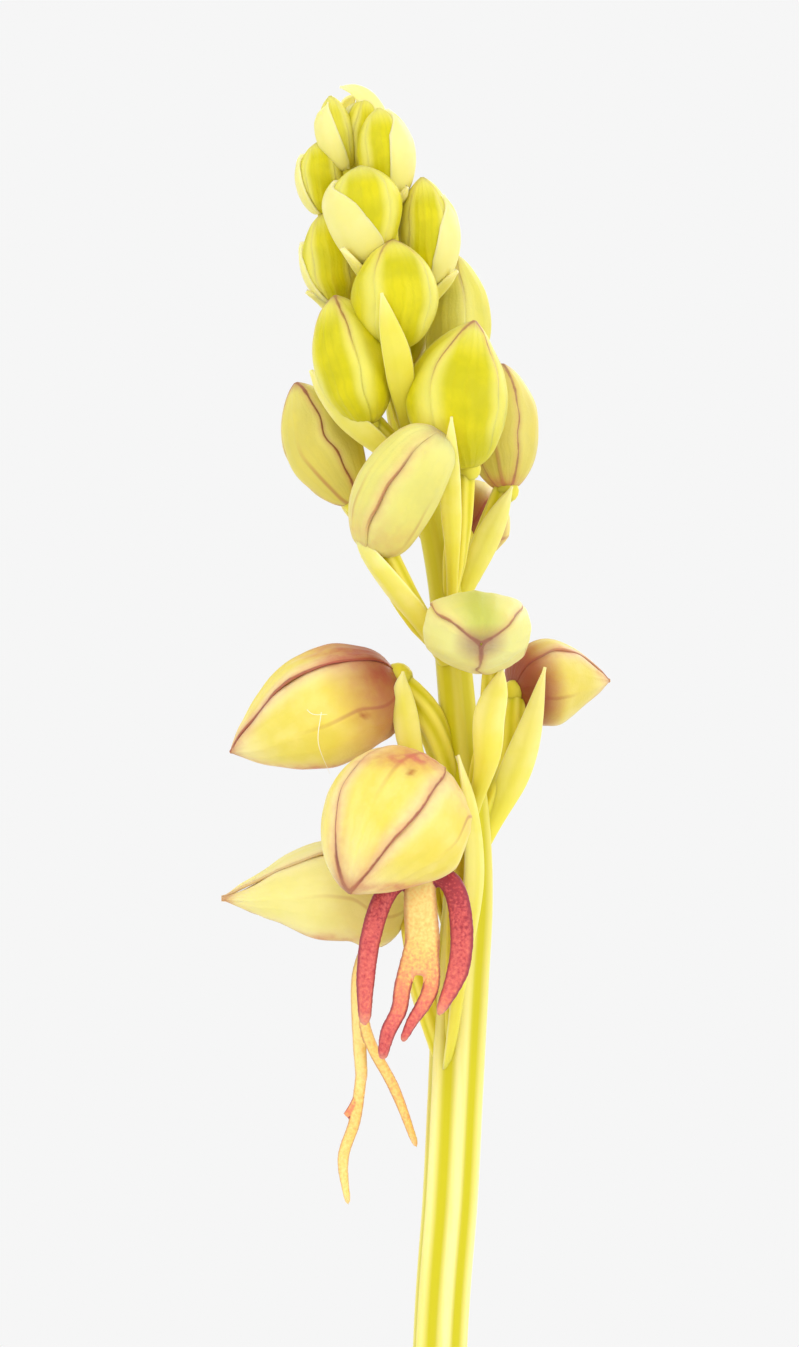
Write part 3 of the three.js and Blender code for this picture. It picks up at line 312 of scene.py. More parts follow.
def stations(points, shares, facing, anchor=0.0):
    """Places on a curve with the directions along it, out of it and to its side, without twist."""
    tiny = 1e-4
    place = spline(points, shares)
    along = spline(points, shares + tiny) - spline(points, shares - tiny)
    along /= np.linalg.norm(along, axis=1)[:, None]
    out = np.zeros_like(along)
    first = int(np.argmin(abs(shares - anchor)))

    def squared(direction, i):
        flat = direction - direction @ along[i] * along[i]
        return flat / np.linalg.norm(flat)

    out[first] = squared(facing, first)
    for i in range(first + 1, len(shares)):
        out[i] = squared(out[i - 1], i)
    for i in range(first - 1, -1, -1):
        out[i] = squared(out[i + 1], i)
    return place, out, np.cross(along, out)


def sheet(place, out, side, forward, sideways):
    """A grid of points, each that far out of a line and to its side."""
    return place[:, None] + out[:, None] * forward[..., None] + side[:, None] * sideways[..., None]


def rings(points, shares, deep, wide, turn):
    """Rings of points round a line, with their half depth and half width."""
    return sheet(*stations(points, shares, FRONT), deep * np.cos(turn), wide * np.sin(turn))


def ripple(points, size, seed=0.0):
    """Smooth noise from -1 to 1 at points in millimetres, with waves of about that size."""
    flat = points.reshape(-1, 3) / size + seed
    return np.array([noise.noise(Vector(point)) for point in flat]).reshape(points.shape[:-1])


def split_ball(points, faces):
    """Each triangle split in four, with the points pushed out to a ball."""
    points = [tuple(p) for p in points]
    found, split = {}, []

    def between(one, other):
        key = (min(one, other), max(one, other))
        if key not in found:
            middle = np.array(points[one]) + np.array(points[other])
            points.append(tuple(middle / np.linalg.norm(middle)))
            found[key] = len(points) - 1
        return found[key]

    for a, b, c in faces:
        ab, bc, ca = between(a, b), between(b, c), between(c, a)
        split += [(a, ab, ca), (ab, b, bc), (ca, bc, c), (ab, bc, ca)]
    return np.array(points), split


OCTAHEDRON = [(1, 0, 0), (0, 1, 0), (-1, 0, 0), (0, -1, 0), (0, 0, 1), (0, 0, -1)]
OCTAHEDRON_FACES = [(0, 1, 4), (1, 2, 4), (2, 3, 4), (3, 0, 4), (1, 0, 5), (2, 1, 5), (3, 2, 5), (0, 3, 5)]
CRUMB = split_ball(OCTAHEDRON, OCTAHEDRON_FACES)
BALL = split_ball(*CRUMB)


def linked(name, data):
    """A new object in the scene."""
    made = bpy.data.objects.new(name, data)
    bpy.context.scene.collection.objects.link(made)
    return made


class Body:
    """Points, faces and fields of a mesh under construction."""

    def __init__(self):
        self.points, self.faces, self.fields = [], [], {}
        self.count = 0

    def add(self, points, faces, **fields):
        flat = np.asarray(points, float).reshape(-1, 3)
        self.points.append(flat)
        self.faces += [tuple(int(i) + self.count for i in face) for face in faces]
        for name in {**self.fields, **fields}:
            values = np.broadcast_to(np.ravel(fields.get(name, 0.0)), len(flat))
            self.fields.setdefault(name, [np.zeros(self.count)]).append(values)
        self.count += len(flat)

    def add_tube(self, grid, **fields):
        """A closed tube from rings of points, with a flat cap at each end."""
        here = np.arange(grid.shape[0] * grid.shape[1]).reshape(grid.shape[:2])
        after = np.roll(here, -1, axis=1)
        walls = np.stack([here[:-1], after[:-1], after[1:], here[1:]], -1).reshape(-1, 4)
        self.add(grid, [*walls, here[0, ::-1], here[-1]], **fields)

    def add_shell(self, outer, inner, **fields):
        """A thin closed sheet between two grids of the same size."""
        shape = outer.shape[:2]
        here = np.arange(shape[0] * shape[1]).reshape(shape)
        a, b, c, d = here[:-1, :-1], here[:-1, 1:], here[1:, 1:], here[1:, :-1]
        upper = np.stack([a, b, c, d], -1).reshape(-1, 4)
        lower = np.stack([a, d, c, b], -1).reshape(-1, 4) + here.size
        rim = np.concatenate([here[0], here[1:, -1], here[-1, -2::-1], here[-2:0:-1, 0]])
        after = np.roll(rim, -1)
        edge = np.stack([rim, rim + here.size, after + here.size, after], -1)
        both = {name: np.tile(np.broadcast_to(value, shape).ravel(), 2) for name, value in fields.items()}
        self.add(np.stack([outer, inner]), [*upper, *lower, *edge], **both)

    def made(self, name, material, sharp=60):
        """The finished object. Edges that bend more than that many degrees stay sharp."""
        mesh = bpy.data.meshes.new(name)
        mesh.from_pydata((np.concatenate(self.points) * MM).tolist(), [], self.faces)
        for field, values in self.fields.items():
            layer = mesh.attributes.new(field, "FLOAT", "POINT")
            layer.data.foreach_set("value", np.concatenate(values).astype(np.float32))
        mesh.shade_smooth()
        mesh.set_sharp_from_angle(angle=math.radians(sharp))
        mesh.materials.append(material)
        return linked(name, mesh)


def placed(piece, slot, *nodes):
    """Puts a finished piece on the plant in place of its CAD nodes."""
    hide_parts(*nodes)
    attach(piece, ROOT)


def colour(red, green, blue):
    """A colour given as it looks on a screen, from 0 to 255, as the light values that shaders take."""
    shares = np.array([red, green, blue]) / 255
    light = np.where(shares <= 0.04045, shares / 12.92, ((shares + 0.055) / 1.055) ** 2.4)
    return (*light.tolist(), 1.0)


class Paint:
    """A material under construction. Its base colour is built up in layers, from the bottom up."""

    def __init__(self, name, roughness, subsurface=0.0, sheen=0.0, specular=0.4, coat=0.0):
        self.material = bpy.data.materials.new(name)
        self.material.use_nodes = True
        self.tree = self.material.node_tree
        self.shader = self.tree.nodes["Principled BSDF"]
        inputs = self.shader.inputs
        inputs["Roughness"].default_value = roughness
        inputs["Specular IOR Level"].default_value = specular
        inputs["Subsurface Weight"].default_value = subsurface
        inputs["Subsurface Radius"].default_value = (1.0, 0.85, 0.3)
        inputs["Subsurface Scale"].default_value = 0.5 * MM
        inputs["Sheen Weight"].default_value = sheen
        inputs["Sheen Roughness"].default_value = 0.4
        inputs["Coat Weight"].default_value = coat
        inputs["Coat Roughness"].default_value = 0.25
        self.place = self.node("ShaderNodeTexCoord", "Object", {})

    def set(self, socket, value):
        if isinstance(value, bpy.types.NodeSocket):
            self.tree.links.new(value, socket)
        else:
            socket.default_value = value

    def node(self, kind, output, inputs, **settings):
        """One output of a new node, whose inputs are values or other nodes' outputs."""
        made = self.tree.nodes.new(kind)
        for key, value in settings.items():
            setattr(made, key, value)
        for name, value in inputs.items():
            self.set(made.inputs[name], value)
        return made.outputs[output]

    def fields(self, *names):
        """The values that a mesh carries under those names."""
        return [self.node("ShaderNodeAttribute", "Fac", {}, attribute_name=name) for name in names]

    def noise(self, size, detail=3.0, stretch=(1, 1, 1)):
        """Noise from 0 to 1 with waves of about that many millimetres."""
        place = self.node("ShaderNodeMapping", "Vector", {"Vector": self.place, "Scale": stretch})
        inputs = {"Vector": place, "Scale": 1 / (size * MM), "Detail": detail}
        return self.node("ShaderNodeTexNoise", "Fac", inputs)

    def math(self, kind, one, other=0.0):
        return self.node("ShaderNodeMath", "Value", {0: one, 1: other}, operation=kind)

    def times(self, one, *others):
        for other in others:
            one = self.math("MULTIPLY", one, other)
        return one

    def larger(self, one, other):
        return self.math("MAXIMUM", one, other)

    def ramp(self, value, low, high, start, end):
        """A smooth change from start, where the value is low, to end, where it is high."""
        inputs = {"Value": value, "From Min": low, "From Max": high, "To Min": start, "To Max": end}
        return self.node("ShaderNodeMapRange", "Result", inputs, interpolation_type="SMOOTHSTEP")

    def rise(self, value, low, high, top=1.0):
        return self.ramp(value, low, high, 0.0, top)

    def fall(self, value, low, high, top=1.0):
        return self.ramp(value, low, high, top, 0.0)

    def mix(self, share, one, other):
        inputs = {"Factor": share, "A": one, "B": other}
        for name, value in inputs.items():
            if isinstance(value, tuple):
                inputs[name] = colour(*value)
        return self.node("ShaderNodeMix", "Result", inputs, data_type="RGBA")

    def start(self, share, one, other):
        """The bottom layer: two colours, mixed by the share of the second."""
        self.base = self.mix(share, one, other)

    def over(self, share, tint):
        """One more layer, which covers what is below it by that share."""
        self.base = self.mix(share, self.base, tint)

    def height(self):
        """The height above the floor, in metres."""
        return self.node("ShaderNodeSeparateXYZ", "Z", {"Vector": self.place})

    def done(self, relief=None, strength=0.0, depth=0.0, roughness=None):
        """The finished material, with a relief of that strength and depth in millimetres."""
        results = {"Base Color": self.base}
        if relief:
            inputs = {"Strength": strength, "Distance": depth * MM, "Height": relief}
            results["Normal"] = self.node("ShaderNodeBump", "Normal", inputs)
        if roughness:
            results["Roughness"] = roughness
        for name, value in results.items():
            self.set(self.shader.inputs[name], value)
        return self.material


SKIN_STRIPES = 19


def sepal_material(name, skin, glow_skin, deep_skin, neck_glow):
    """Skin of a bud or hood: paler towards its edges and tip, with red edges and veins where it blushes.

    The paler edges and tip are a painted glow of light shining through the thin margins. The last argument
    is how much of that painted glow shows at the neck.
    """
    paint = Paint(name, roughness=0.5, subsurface=0.45, sheen=0.1, specular=0.25)
    edge, middle, across, along, red = paint.fields("edge", "middle", "across", "along", "red")
    pale, tan, wash, spot, stain, speck, base_red = paint.fields(
        "pale", "tan", "wash", "spot", "stain", "speck", "base_red")
    mottle = paint.noise(0.5, 4)
    paint.start(paint.rise(paint.noise(1.5), 0.35, 0.68), skin, deep_skin)
    phase = paint.math("ADD", paint.times(across, SKIN_STRIPES), paint.times(mottle, 5.0))
    stripe = paint.rise(paint.math("SINE", phase), 0.1, 1.0, 0.32)
    paint.over(stripe, deep_skin)
    # Painted glow: the paler colour at each sepal's edges and at the tip stands in for light shining
    # through the thin margins.
    outer = paint.rise(paint.math("ABSOLUTE", across), 0.5, 0.96, 0.75)
    light = paint.larger(outer, paint.rise(along, 0.72, 1.0, 0.7))
    paint.over(paint.times(light, paint.ramp(along, 0.05, 0.35, neck_glow, 1.0)), glow_skin)
    paint.over(pale, (240, 232, 160))
    paint.over(paint.times(tan, 0.7), (214, 180, 96))
    fleck = paint.ramp(mottle, 0.3, 0.7, 0.45, 1.0)
    near, foot = paint.fall(edge, 0.0, 0.75), paint.fall(along, 0.05, 0.5)
    paint.over(paint.times(wash, fleck, paint.larger(near, foot)), (212, 128, 104))
    paint.over(paint.times(spot, paint.fall(middle, 0.1, 1.1), paint.rise(along, 0.35, 0.6, 0.7)),
               (176, 182, 58))
    near_edge = paint.math("ADD", edge, paint.times(paint.math("SUBTRACT", mottle, 0.5), 0.12))
    paint.over(paint.times(paint.fall(near_edge, 0.05, 0.3, 0.38), red), (206, 138, 100))
    paint.over(paint.times(paint.fall(near_edge, 0.035, 0.11, 0.85), red), (150, 74, 62))
    vein = paint.times(paint.fall(middle, 0.02, 0.13, 0.6), paint.fall(along, 0.2, 0.7))
    paint.over(paint.times(vein, red), (170, 96, 72))
    paint.over(paint.times(stain, fleck), (204, 104, 92))
    paint.over(speck, (170, 92, 48))
    # Dark red at the neck: partly the flower's own red and partly painted shade where the hood meets its
    # stalk.
    paint.over(paint.times(base_red, paint.fall(along, 0.05, 0.45, 0.9)), (150, 66, 52))
    paint.over(paint.times(red, paint.rise(along, 0.92, 1.0, 0.5)), (196, 124, 92))
    return paint.done(paint.math("ADD", paint.noise(0.1), paint.times(stripe, 1.5)), 0.35, 0.035)


def bract_material():
    paint = Paint("bract", roughness=0.5, subsurface=0.5, sheen=0.1, specular=0.3)
    edge, middle, along, deep, pale = paint.fields("edge", "middle", "along", "deep", "pale")
    paint.start(paint.rise(paint.noise(1.2), 0.35, 0.7), (239, 227, 136), (232, 220, 106))
    paint.over(paint.fall(along, 0.1, 0.6, 0.7), (232, 217, 66))
    green = paint.times(paint.fall(middle, 0.02, 0.4, 0.5), paint.ramp(along, 0.5, 1.0, 1.0, 0.2))
    paint.over(paint.larger(green, deep), (220, 210, 54))
    paint.over(pale, (242, 231, 156))
    paint.over(paint.rise(along, 0.7, 1.0, 0.5), (245, 232, 168))
    paint.over(paint.fall(edge, 0.0, 0.1, 0.5), (247, 236, 180))
    return paint.done(paint.noise(0.2, 3, (1, 1, 0.25)), 0.3, 0.03)


def ovary_material():
    """Pale ribs with yellow-green furrows."""
    paint = Paint("ovary", roughness=0.48, subsurface=0.45, sheen=0.1, specular=0.3)
    [rib] = paint.fields("rib")
    paint.start(rib, (212, 201, 0), (240, 226, 96))
    paint.over(paint.rise(paint.noise(0.9), 0.4, 0.75, 0.5), (232, 218, 50))
    return paint.done(paint.noise(0.15), 0.2, 0.03)


def stem_material():
    """Pale ribs and deep yellow-green furrows, greener towards the soil."""
    paint = Paint("stem_skin", roughness=0.45, subsurface=0.35, sheen=0.1, specular=0.3)
    [rib] = paint.fields("rib")
    height = paint.height()
    young = paint.mix(rib, (208, 197, 0), (248, 237, 158))
    old = paint.mix(rib, (112, 142, 34), (176, 190, 92))
    paint.start(paint.rise(height, 0.1, 0.19), old, young)
    paint.over(paint.fall(height, SOIL_TOP * MM, 0.085, 0.75), (224, 214, 150))
    streak = paint.rise(paint.noise(0.5, 4, (1, 1, 0.06)), 0.4, 0.68, 0.5)
    paint.over(paint.times(streak, rib), (226, 214, 70))
    return paint.done(paint.noise(0.25, 3, (1, 1, 0.15)), 0.25, 0.04)


def leaf_material():
    paint = Paint("leaf_skin", roughness=0.36, subsurface=0.12, specular=0.5, coat=0.12)
    middle, edge, vein, along, under = paint.fields("middle", "edge", "vein", "along", "under")
    paint.start(paint.rise(paint.noise(9, 4), 0.3, 0.7), (74, 112, 38), (98, 138, 52))
    paint.over(paint.times(vein, 0.45), (134, 164, 84))
    paint.over(paint.fall(middle, 0.0, 0.7, 0.7), (166, 190, 110))
    paint.over(paint.fall(edge, 0.0, 0.35, 0.5), (150, 168, 84))
    paint.over(paint.fall(along, 0.0, 0.22, 0.75), (202, 208, 140))
    paint.over(paint.rise(along, 0.95, 1.0, 0.6), (150, 130, 60))
    paint.over(paint.times(under, 0.5), (146, 172, 106))
    roughness = paint.ramp(paint.noise(3, 4), 0.3, 0.7, 0.30, 0.46)
    return paint.done(paint.noise(0.5, 4), 0.2, 0.06, roughness)


# The lips' colours from the coolest to the warmest, with the warmth at which each is pure.
WARMTH = [
    (0.0, (252, 222, 138)), (0.22, (250, 200, 112)), (0.45, (238, 148, 102)),
    (0.7, (222, 110, 98)), (0.88, (202, 82, 82)), (1.0, (166, 52, 62)),
]


def lip_material():
    """Fleshy lip: yellow to deep red by its warmth field, with a darker rim and a grain of fine beads."""
    paint = Paint("lip_skin", roughness=0.5, subsurface=0.3, sheen=0.1, specular=0.35)
    warmth, rim, tip = paint.fields("warmth", "rim", "tip")
    grain = paint.noise(0.13)
    beads = paint.times(paint.math("SUBTRACT", grain, 0.5), 0.7)
    paint.base = paint.node("ShaderNodeValToRGB", "Color", {"Fac": paint.math("ADD", warmth, beads)})
    ramp = paint.base.node
    for place, _ in WARMTH[1:-1]:
        ramp.color_ramp.elements.new(place)
    for element, (_, tint) in zip(ramp.color_ramp.elements, WARMTH):
        element.color = colour(*tint)
    rim_share = paint.times(paint.rise(rim, 0.62, 0.97), paint.ramp(warmth, 0.0, 0.6, 0.45, 0.95))
    paint.over(rim_share, (142, 38, 58))
    paint.over(paint.rise(tip, 0.9, 1.0, 0.5), (240, 180, 150))
    return paint.done(grain, 0.5, 0.05)


def clay_material():
    """Fired clay with specks, a pale bloom near the foot and a damp band at the soil."""
    paint = Paint("clay", roughness=0.85, specular=0.25)
    height = paint.height()
    paint.start(paint.rise(paint.noise(18, 5), 0.3, 0.7), (184, 104, 68), (200, 122, 84))
    paint.over(paint.rise(paint.noise(0.7, 2), 0.6, 0.75, 0.5), (150, 80, 54))
    bloom = paint.times(paint.rise(paint.noise(7, 5), 0.5, 0.72), paint.ramp(height, 0.05, 0.0, 0.0, 0.55))
    paint.over(bloom, (222, 196, 172))
    paint.over(paint.fall(height, 0.058, 0.069, 0.22), (146, 82, 54))
    roughness = paint.ramp(paint.noise(4, 4), 0.3, 0.7, 0.74, 0.92)
    turning_marks = paint.times(paint.noise(3.2, 2, (0.06, 0.06, 1)), 0.8)
    return paint.done(paint.math("ADD", paint.noise(0.35, 4), turning_marks), 0.35, 0.22, roughness)


def soil_material():
    paint = Paint("soil_skin", roughness=0.95, specular=0.15)
    [stone] = paint.fields("stone")
    paint.start(paint.rise(paint.noise(2.2, 5), 0.3, 0.7), (48, 36, 26), (86, 66, 48))
    paint.over(paint.rise(paint.noise(0.5), 0.62, 0.74, 0.6), (120, 98, 72))
    paint.over(stone, (148, 130, 106))
    return paint.done(paint.noise(0.6, 5), 0.8, 0.5)


def tuber_material():
    paint = Paint("tuber_skin", roughness=0.8)
    paint.start(paint.rise(paint.noise(3, 4), 0.3, 0.7), (176, 146, 100), (206, 180, 134))
    return paint.done(paint.noise(0.8, 4), 0.5, 0.2)


def hair_material():
    paint = Paint("hair", roughness=0.4)
    paint.base = colour(250, 244, 226)
    return paint.done()


def swell(bloom, shares, sideways=0.0):
    """The share of its full width that a head has at each share of its length.

    Where its tip differs from side to side, sideways runs from -1 at the first side to 1 at the second.
    """
    belly = bloom["belly"]
    turn = np.pi * shares ** (math.log(0.5) / math.log(belly))
    first, second = np.broadcast_to(bloom["point"], 2)
    point = mixed(first, second, (sideways + 1) / 2)
    power = np.where(shares < belly, bloom["blunt"], point)
    return np.clip(np.sin(np.clip(turn, 0, np.pi)), 1e-6, 1) ** power


# Sepals over a head. The back one stands off the head, so that it lies over the edges of the other
# two. Rows are closer together near the neck and the tip.
OVERLAP = 3
BACK_STAND = 0.05
SEPAL_ROWS = np.concatenate([np.linspace(0.004, 0.1, 7)[:-1], np.linspace(0.1, 0.93, 34),
                             np.linspace(0.93, 1.0, 7)[1:]])
SEPAL_COLUMNS = 27
SEPAL_THICKNESS = 0.17
KEEL_HEIGHT, KEEL_WIDTH = 0.04, 0.13
ROLLED_EDGE = 0.045
VEIN_HEIGHT, VEINS = 0.012, 5
SWELLING, SWELLING_SIZE = 0.04, 1.3
CORNER_WIDTH, DENT_WIDTH = 16, 30
LEAST_RADIUS = 0.05
SPECK_RADIUS = 0.16


def sepal_edges(bloom, shares):
    """The start and end angle of each of the three sepals, and how far each stands off."""
    opening = smooth(shares, 0.06, 0.3) * (1 - 0.75 * smooth(shares, 0.7, 1.0))
    meet = 181 - bloom["gape"] * opening
    seed = len(bloom["name"]) + 3.7 * (bloom["head"][0][0] % 1)

    def strayed(slow, slow_seed, fast, fast_seed):
        wave = np.sin(shares * slow + slow_seed) + 0.6 * np.sin(shares * fast + fast_seed)
        return bloom["back_sepal"] + bloom["wiggle"] * wave

    left = strayed(9, seed, 21, 2 * seed)
    right = strayed(8, 1.7 * seed, 19, seed)
    return [(-right, left, BACK_STAND), (left - OVERLAP, meet, 0.0), (-meet, OVERLAP - right, 0.0)]


def head_surface(bloom, shares, angles, lift):
    """Points round a head at those angles, lifted off its surface."""
    turn = np.radians(angles + bloom["roll"])
    full = swell(bloom, shares[:, None], np.sin(turn))
    for corner, height in bloom["corners"]:
        apart = (angles - corner + 180) % 360 - 180
        full = full * (1 + height * bump(apart, CORNER_WIDTH))
    full = full * (1 - bloom["dent"] * bump(angles, DENT_WIDTH) * smooth(shares[:, None], 0.3, 0.7))
    deep = np.maximum(full * bloom["deep"] / 2, LEAST_RADIUS) + lift
    wide = np.maximum(full * bloom["wide"] / 2, LEAST_RADIUS) + lift
    line = stations(bloom["head"], shares, bloom["facing"], anchor=0.55)
    return sheet(*line, deep * np.cos(turn), wide * np.sin(turn))


def red_along(bloom, shares):
    """How strong the red lines are at each share of a head's length."""
    start, end = bloom["red"]
    rise = smooth(shares, start - 0.2, start + 0.15) if start > 0 else 1
    fall = 1 - smooth(shares, end - 0.15, end + 0.15) if end < 1 else 1
    return bloom["blush"] * rise * fall * np.ones(len(shares))


def blot(grid, column, row, wide, tall):
    """How near each point of a grid is, seen from the front, to a mark of that half width and height."""
    apart = grid - at(column, row)
    return bump(apart[..., 0], wide) * bump(apart[..., 2], tall)


def blade_fields(shares, across, width):
    """Distances from the edge and from the middle of a blade, and the share of its length."""
    half = width[:, None] / 2
    return dict(edge=(1 - abs(across)) * half, middle=abs(across) * half, along=shares[:, None])


def add_sepals(body, bloom):
    shares, across = SEPAL_ROWS, spread(SEPAL_COLUMNS)
    size = (bloom["wide"] + bloom["deep"]) / 4
    taper = np.minimum(1, (1 - shares) / 0.12 + 0.25)[:, None]
    skin = SEPAL_THICKNESS / 2 * np.sqrt(1 - 0.96 * across**10) * taper
    keel = KEEL_HEIGHT * bump(across, KEEL_WIDTH) * smooth(shares, 0.0, 0.2)[:, None]
    veins = VEIN_HEIGHT * np.cos(across * VEINS * np.pi)
    for start, end, stand in sepal_edges(bloom, shares):
        angles = mixed(start[:, None], end[:, None], (across + 1) / 2)
        rolled = ROLLED_EDGE * smooth(abs(across), 0.8, 0.98) * (stand > 0)
        outer_lift = (stand + keel + rolled + veins) * size / 2 * taper + skin
        outer = head_surface(bloom, shares, angles, outer_lift)
        inner = head_surface(bloom, shares, angles, stand * size / 2 * taper - skin)
        outward = outer - head_surface(bloom, shares, angles, outer_lift - 1)
        push = outward * SWELLING * size * ripple(outer, SWELLING_SIZE, start[0])[..., None]
        arc = np.radians(end - start) * size * swell(bloom, shares)
        speck, stain = 0.0, 0.0
        for column, row in bloom["specks"]:
            speck = speck + blot(outer, column, row, SPECK_RADIUS, SPECK_RADIUS)
        for *mark, strength in bloom["stains"]:
            stain = np.maximum(stain, strength * blot(outer, *mark))
        body.add_shell(outer + push, inner + push, speck=speck, stain=stain, across=across,
                       red=red_along(bloom, shares)[:, None], spot=bloom["spot"] * (stand > 0),
                       **{name: bloom[name] for name in ("tan", "pale", "base_red", "wash")},
                       **blade_fields(shares, across, arc))


OVARY_ROWS = OVARY_SIDES = 36
OVARY_RIBS = 6
OVARY_TWIST = 2.2
OVARY_SWELLING = [0.45, 0.75, 0.95, 1.0, 1.05, 1.0, 0.95, 0.8]


def rooted(point, share):
    """A point on the stem's skin, moved that share of the way to the stem's middle."""
    middle = [np.interp(point[2], STEM_LINE[:, 2], STEM_LINE[:, axis]) for axis in range(2)]
    return mixed(point, np.array([*middle, point[2]]), share)


def add_ovary(body, bloom):
    """The ribbed, slightly twisted stalk below a head, with a ball that joins the two."""
    shares = np.linspace(0, 1, OVARY_ROWS)
    line = [rooted(bloom["stalk"][0], 0.5), *bloom["stalk"][1:]]
    turn = around(OVARY_SIDES)
    rib = 0.5 + 0.5 * np.cos(OVARY_RIBS * (turn + OVARY_TWIST * shares[:, None] / 2))
    radius = bloom["ovary"] * values_along(OVARY_SWELLING, shares)[:, None] * (0.9 + 0.16 * rib)
    body.add_tube(rings(line, shares, radius, radius, turn), rib=rib)
    ball, faces = BALL
    body.add(ball * bloom["ovary"] * 1.05 + bloom["head"][0], faces, rib=0.5)


def slim_edge(across, power=8):
    """How thick a blade is at each place across it: full in the middle and thin at its edges."""
    return np.sqrt(1 - 0.97 * across**power)


def add_blade(body, line, facing, shares, across, width, bend, thickness, relief=0.0, **fields):
    """A thin blade on a line. Each share of its length has a width and half a bend, in radians."""
    place = stations(line, shares, facing)
    angle, radius = across * bend[:, None], (width / 2 / bend)[:, None]
    slim = slim_edge(across) * thickness / 2

    def surface(inset):
        reach = radius + inset + relief
        return sheet(*place, reach * np.cos(angle) - radius, reach * np.sin(angle))

    body.add_shell(surface(slim), surface(-slim), **fields, **blade_fields(shares, across, width))


BRACT_ROWS, BRACT_COLUMNS = 40, 17
BRACT_THICKNESS = 0.2
# Half of a bract's bend across, in degrees, at its foot and at its tip.
BRACT_BEND = (58, 30)
# The narrowest that a bract gets at its tip, as a share of its full width.
LEAST_WIDTH = 0.06
BRACT_WAVE = 0.03
WRAP_LIFT = 0.13
WRAP_START = 0.02
WRAP_ROWS, WRAP_COLUMNS = 40, 25
WRAP_THICKNESS = 0.2
WRAP_PALE = 0.5
WRAP_KEEL_HEIGHT, BRACT_KEEL_HEIGHT, BRACT_KEEL_WIDTH = 0.05, 0.03, 0.12


def add_wrap(body, bloom):
    """The upper part of a young bud's bract, which lies close round one side of the bud."""
    wrap = bloom["wrap"]
    shares, across = np.linspace(WRAP_START, wrap["tip"], WRAP_ROWS), spread(WRAP_COLUMNS)
    near = values_along(wrap["edge"], np.linspace(0, 1, len(shares)))
    shut = smooth(shares, wrap["tip"] - 0.25, wrap["tip"])
    far = mixed(wrap["back"], near[-1], shut)
    near = mixed(near, near[-1], shut**2)
    angles = mixed(near[:, None], far[:, None], (across + 1) / 2)
    slim = slim_edge(across) * WRAP_THICKNESS / 2
    keel = WRAP_KEEL_HEIGHT * bump(across, BRACT_KEEL_WIDTH)
    outer = head_surface(bloom, shares, angles, WRAP_LIFT + slim + keel)
    inner = head_surface(bloom, shares, angles, WRAP_LIFT - slim)
    arc = np.radians(abs(far - near)) * bloom["wide"] / 2 * swell(bloom, shares)
    body.add_shell(outer, inner, pale=WRAP_PALE, **blade_fields(shares, across, arc))


def bract_line(bloom, away):
    """The usual line of a bract: up the stalk and along the head, just off both."""
    neck, middle = bloom["head"][:2]
    reach = 0.3 if bloom["wrap"] else 0.75
    return [
        bloom["stalk"][0] + 0.15 * away,
        bloom["stalk"][1] + (bloom["ovary"] + 0.25) * away,
        neck + 0.35 * bloom["deep"] * away,
        neck + (middle - neck) * reach + (0.5 * bloom["deep"] + 0.35) * away,
    ]


def add_bract(body, bloom):
    outward = bloom["head"][1] - bloom["stalk"][0]
    away = toward(*outward[:2], 0) if bloom["away"] is None else bloom["away"]
    if bloom["wrap"]:
        add_wrap(body, bloom)
    line = bloom["bract"] or bract_line(bloom, away)
    full = bloom["bract_width"] or 0.45 * bloom["wide"]

    shares, across = np.linspace(0, 1, BRACT_ROWS), spread(BRACT_COLUMNS)
    foot = mixed(0.45, 1.0, smooth(shares, 0, 0.4))
    width = full * np.maximum(LEAST_WIDTH, foot * closing(shares, 0.4, 2.2))
    keel = BRACT_KEEL_HEIGHT * bump(across, BRACT_KEEL_WIDTH)
    wave = BRACT_WAVE * np.sin(9 * shares[:, None] + 3 * across) * abs(across)
    add_blade(body, [rooted(line[0], 0.35), *line[1:]], away, shares, across, width,
              np.radians(mixed(*BRACT_BEND, shares)), BRACT_THICKNESS, keel + wave,
              deep=bloom["deep_bract"])


def build_blooms(blooms, head_skin, ovary_skin, bract_skin, head_slot, stalk_slot, head_node, stalk_node):
    """Sepals, ovary and bract of each bloom, in place of the nodes that are called after it."""
    for bloom in blooms:
        name = bloom["name"]
        for part, add, skin, slot, node in (
            ("sepals", add_sepals, head_skin, head_slot, head_node),
            ("ovary", add_ovary, ovary_skin, stalk_slot, stalk_node),
            ("bract", add_bract, bract_skin, stalk_slot, stalk_node),
        ):
            body = Body()
            add(body, bloom)
            placed(body.made(f"{name}_{part}", skin), slot, name + node)


def build_spike():
    # The second colour of each skin is its painted glow at the edges and tip; the last number is how much
    # of it shows at the neck.
    bud_skin = sepal_material("bud_skin", (217, 204, 4), (241, 230, 118), (198, 189, 0), 0.1)
    hood_skin = sepal_material("hood_skin", (240, 219, 118), (253, 234, 176), (232, 211, 88), 1.0)
    bract_skin, ovary_skin = bract_material(), ovary_material()
    build_blooms(BUDS, bud_skin, ovary_skin, bract_skin, "bud", "bud", "", "")
    build_blooms(FLOWERS, hood_skin, ovary_skin, bract_skin, "hood", "ovary", "_hood", "_stalk")
    build_tip(bud_skin, bract_skin)


HAIRS = [
    [at(300, 698, -3.1), at(312, 713, -3.5), at(328, 714, -3.62)],
    [at(322, 712, -3.6), at(319, 742, -3.4), at(330, 773, -2.3)],
]
HAIR_RADIUS = 0.017
HAIR_ROWS, HAIR_SIDES = 24, 6


def build_hairs():
    """The few white hairs that lie on the first flower's hood."""
    body = Body()
    shares = np.linspace(0, 1, HAIR_ROWS)
    slim = HAIR_RADIUS * np.sqrt(1 - 0.9 * shares**2)[:, None]
    for line in HAIRS:
        body.add_tube(rings(line, shares, slim, slim, around(HAIR_SIDES)))
    placed(body.made("flower_1_hairs", hair_material()), "hood", "flower_1_hood")


STRAND_ROWS, STRAND_SIDES = 60, 20
ROUND_TIP = 0.94


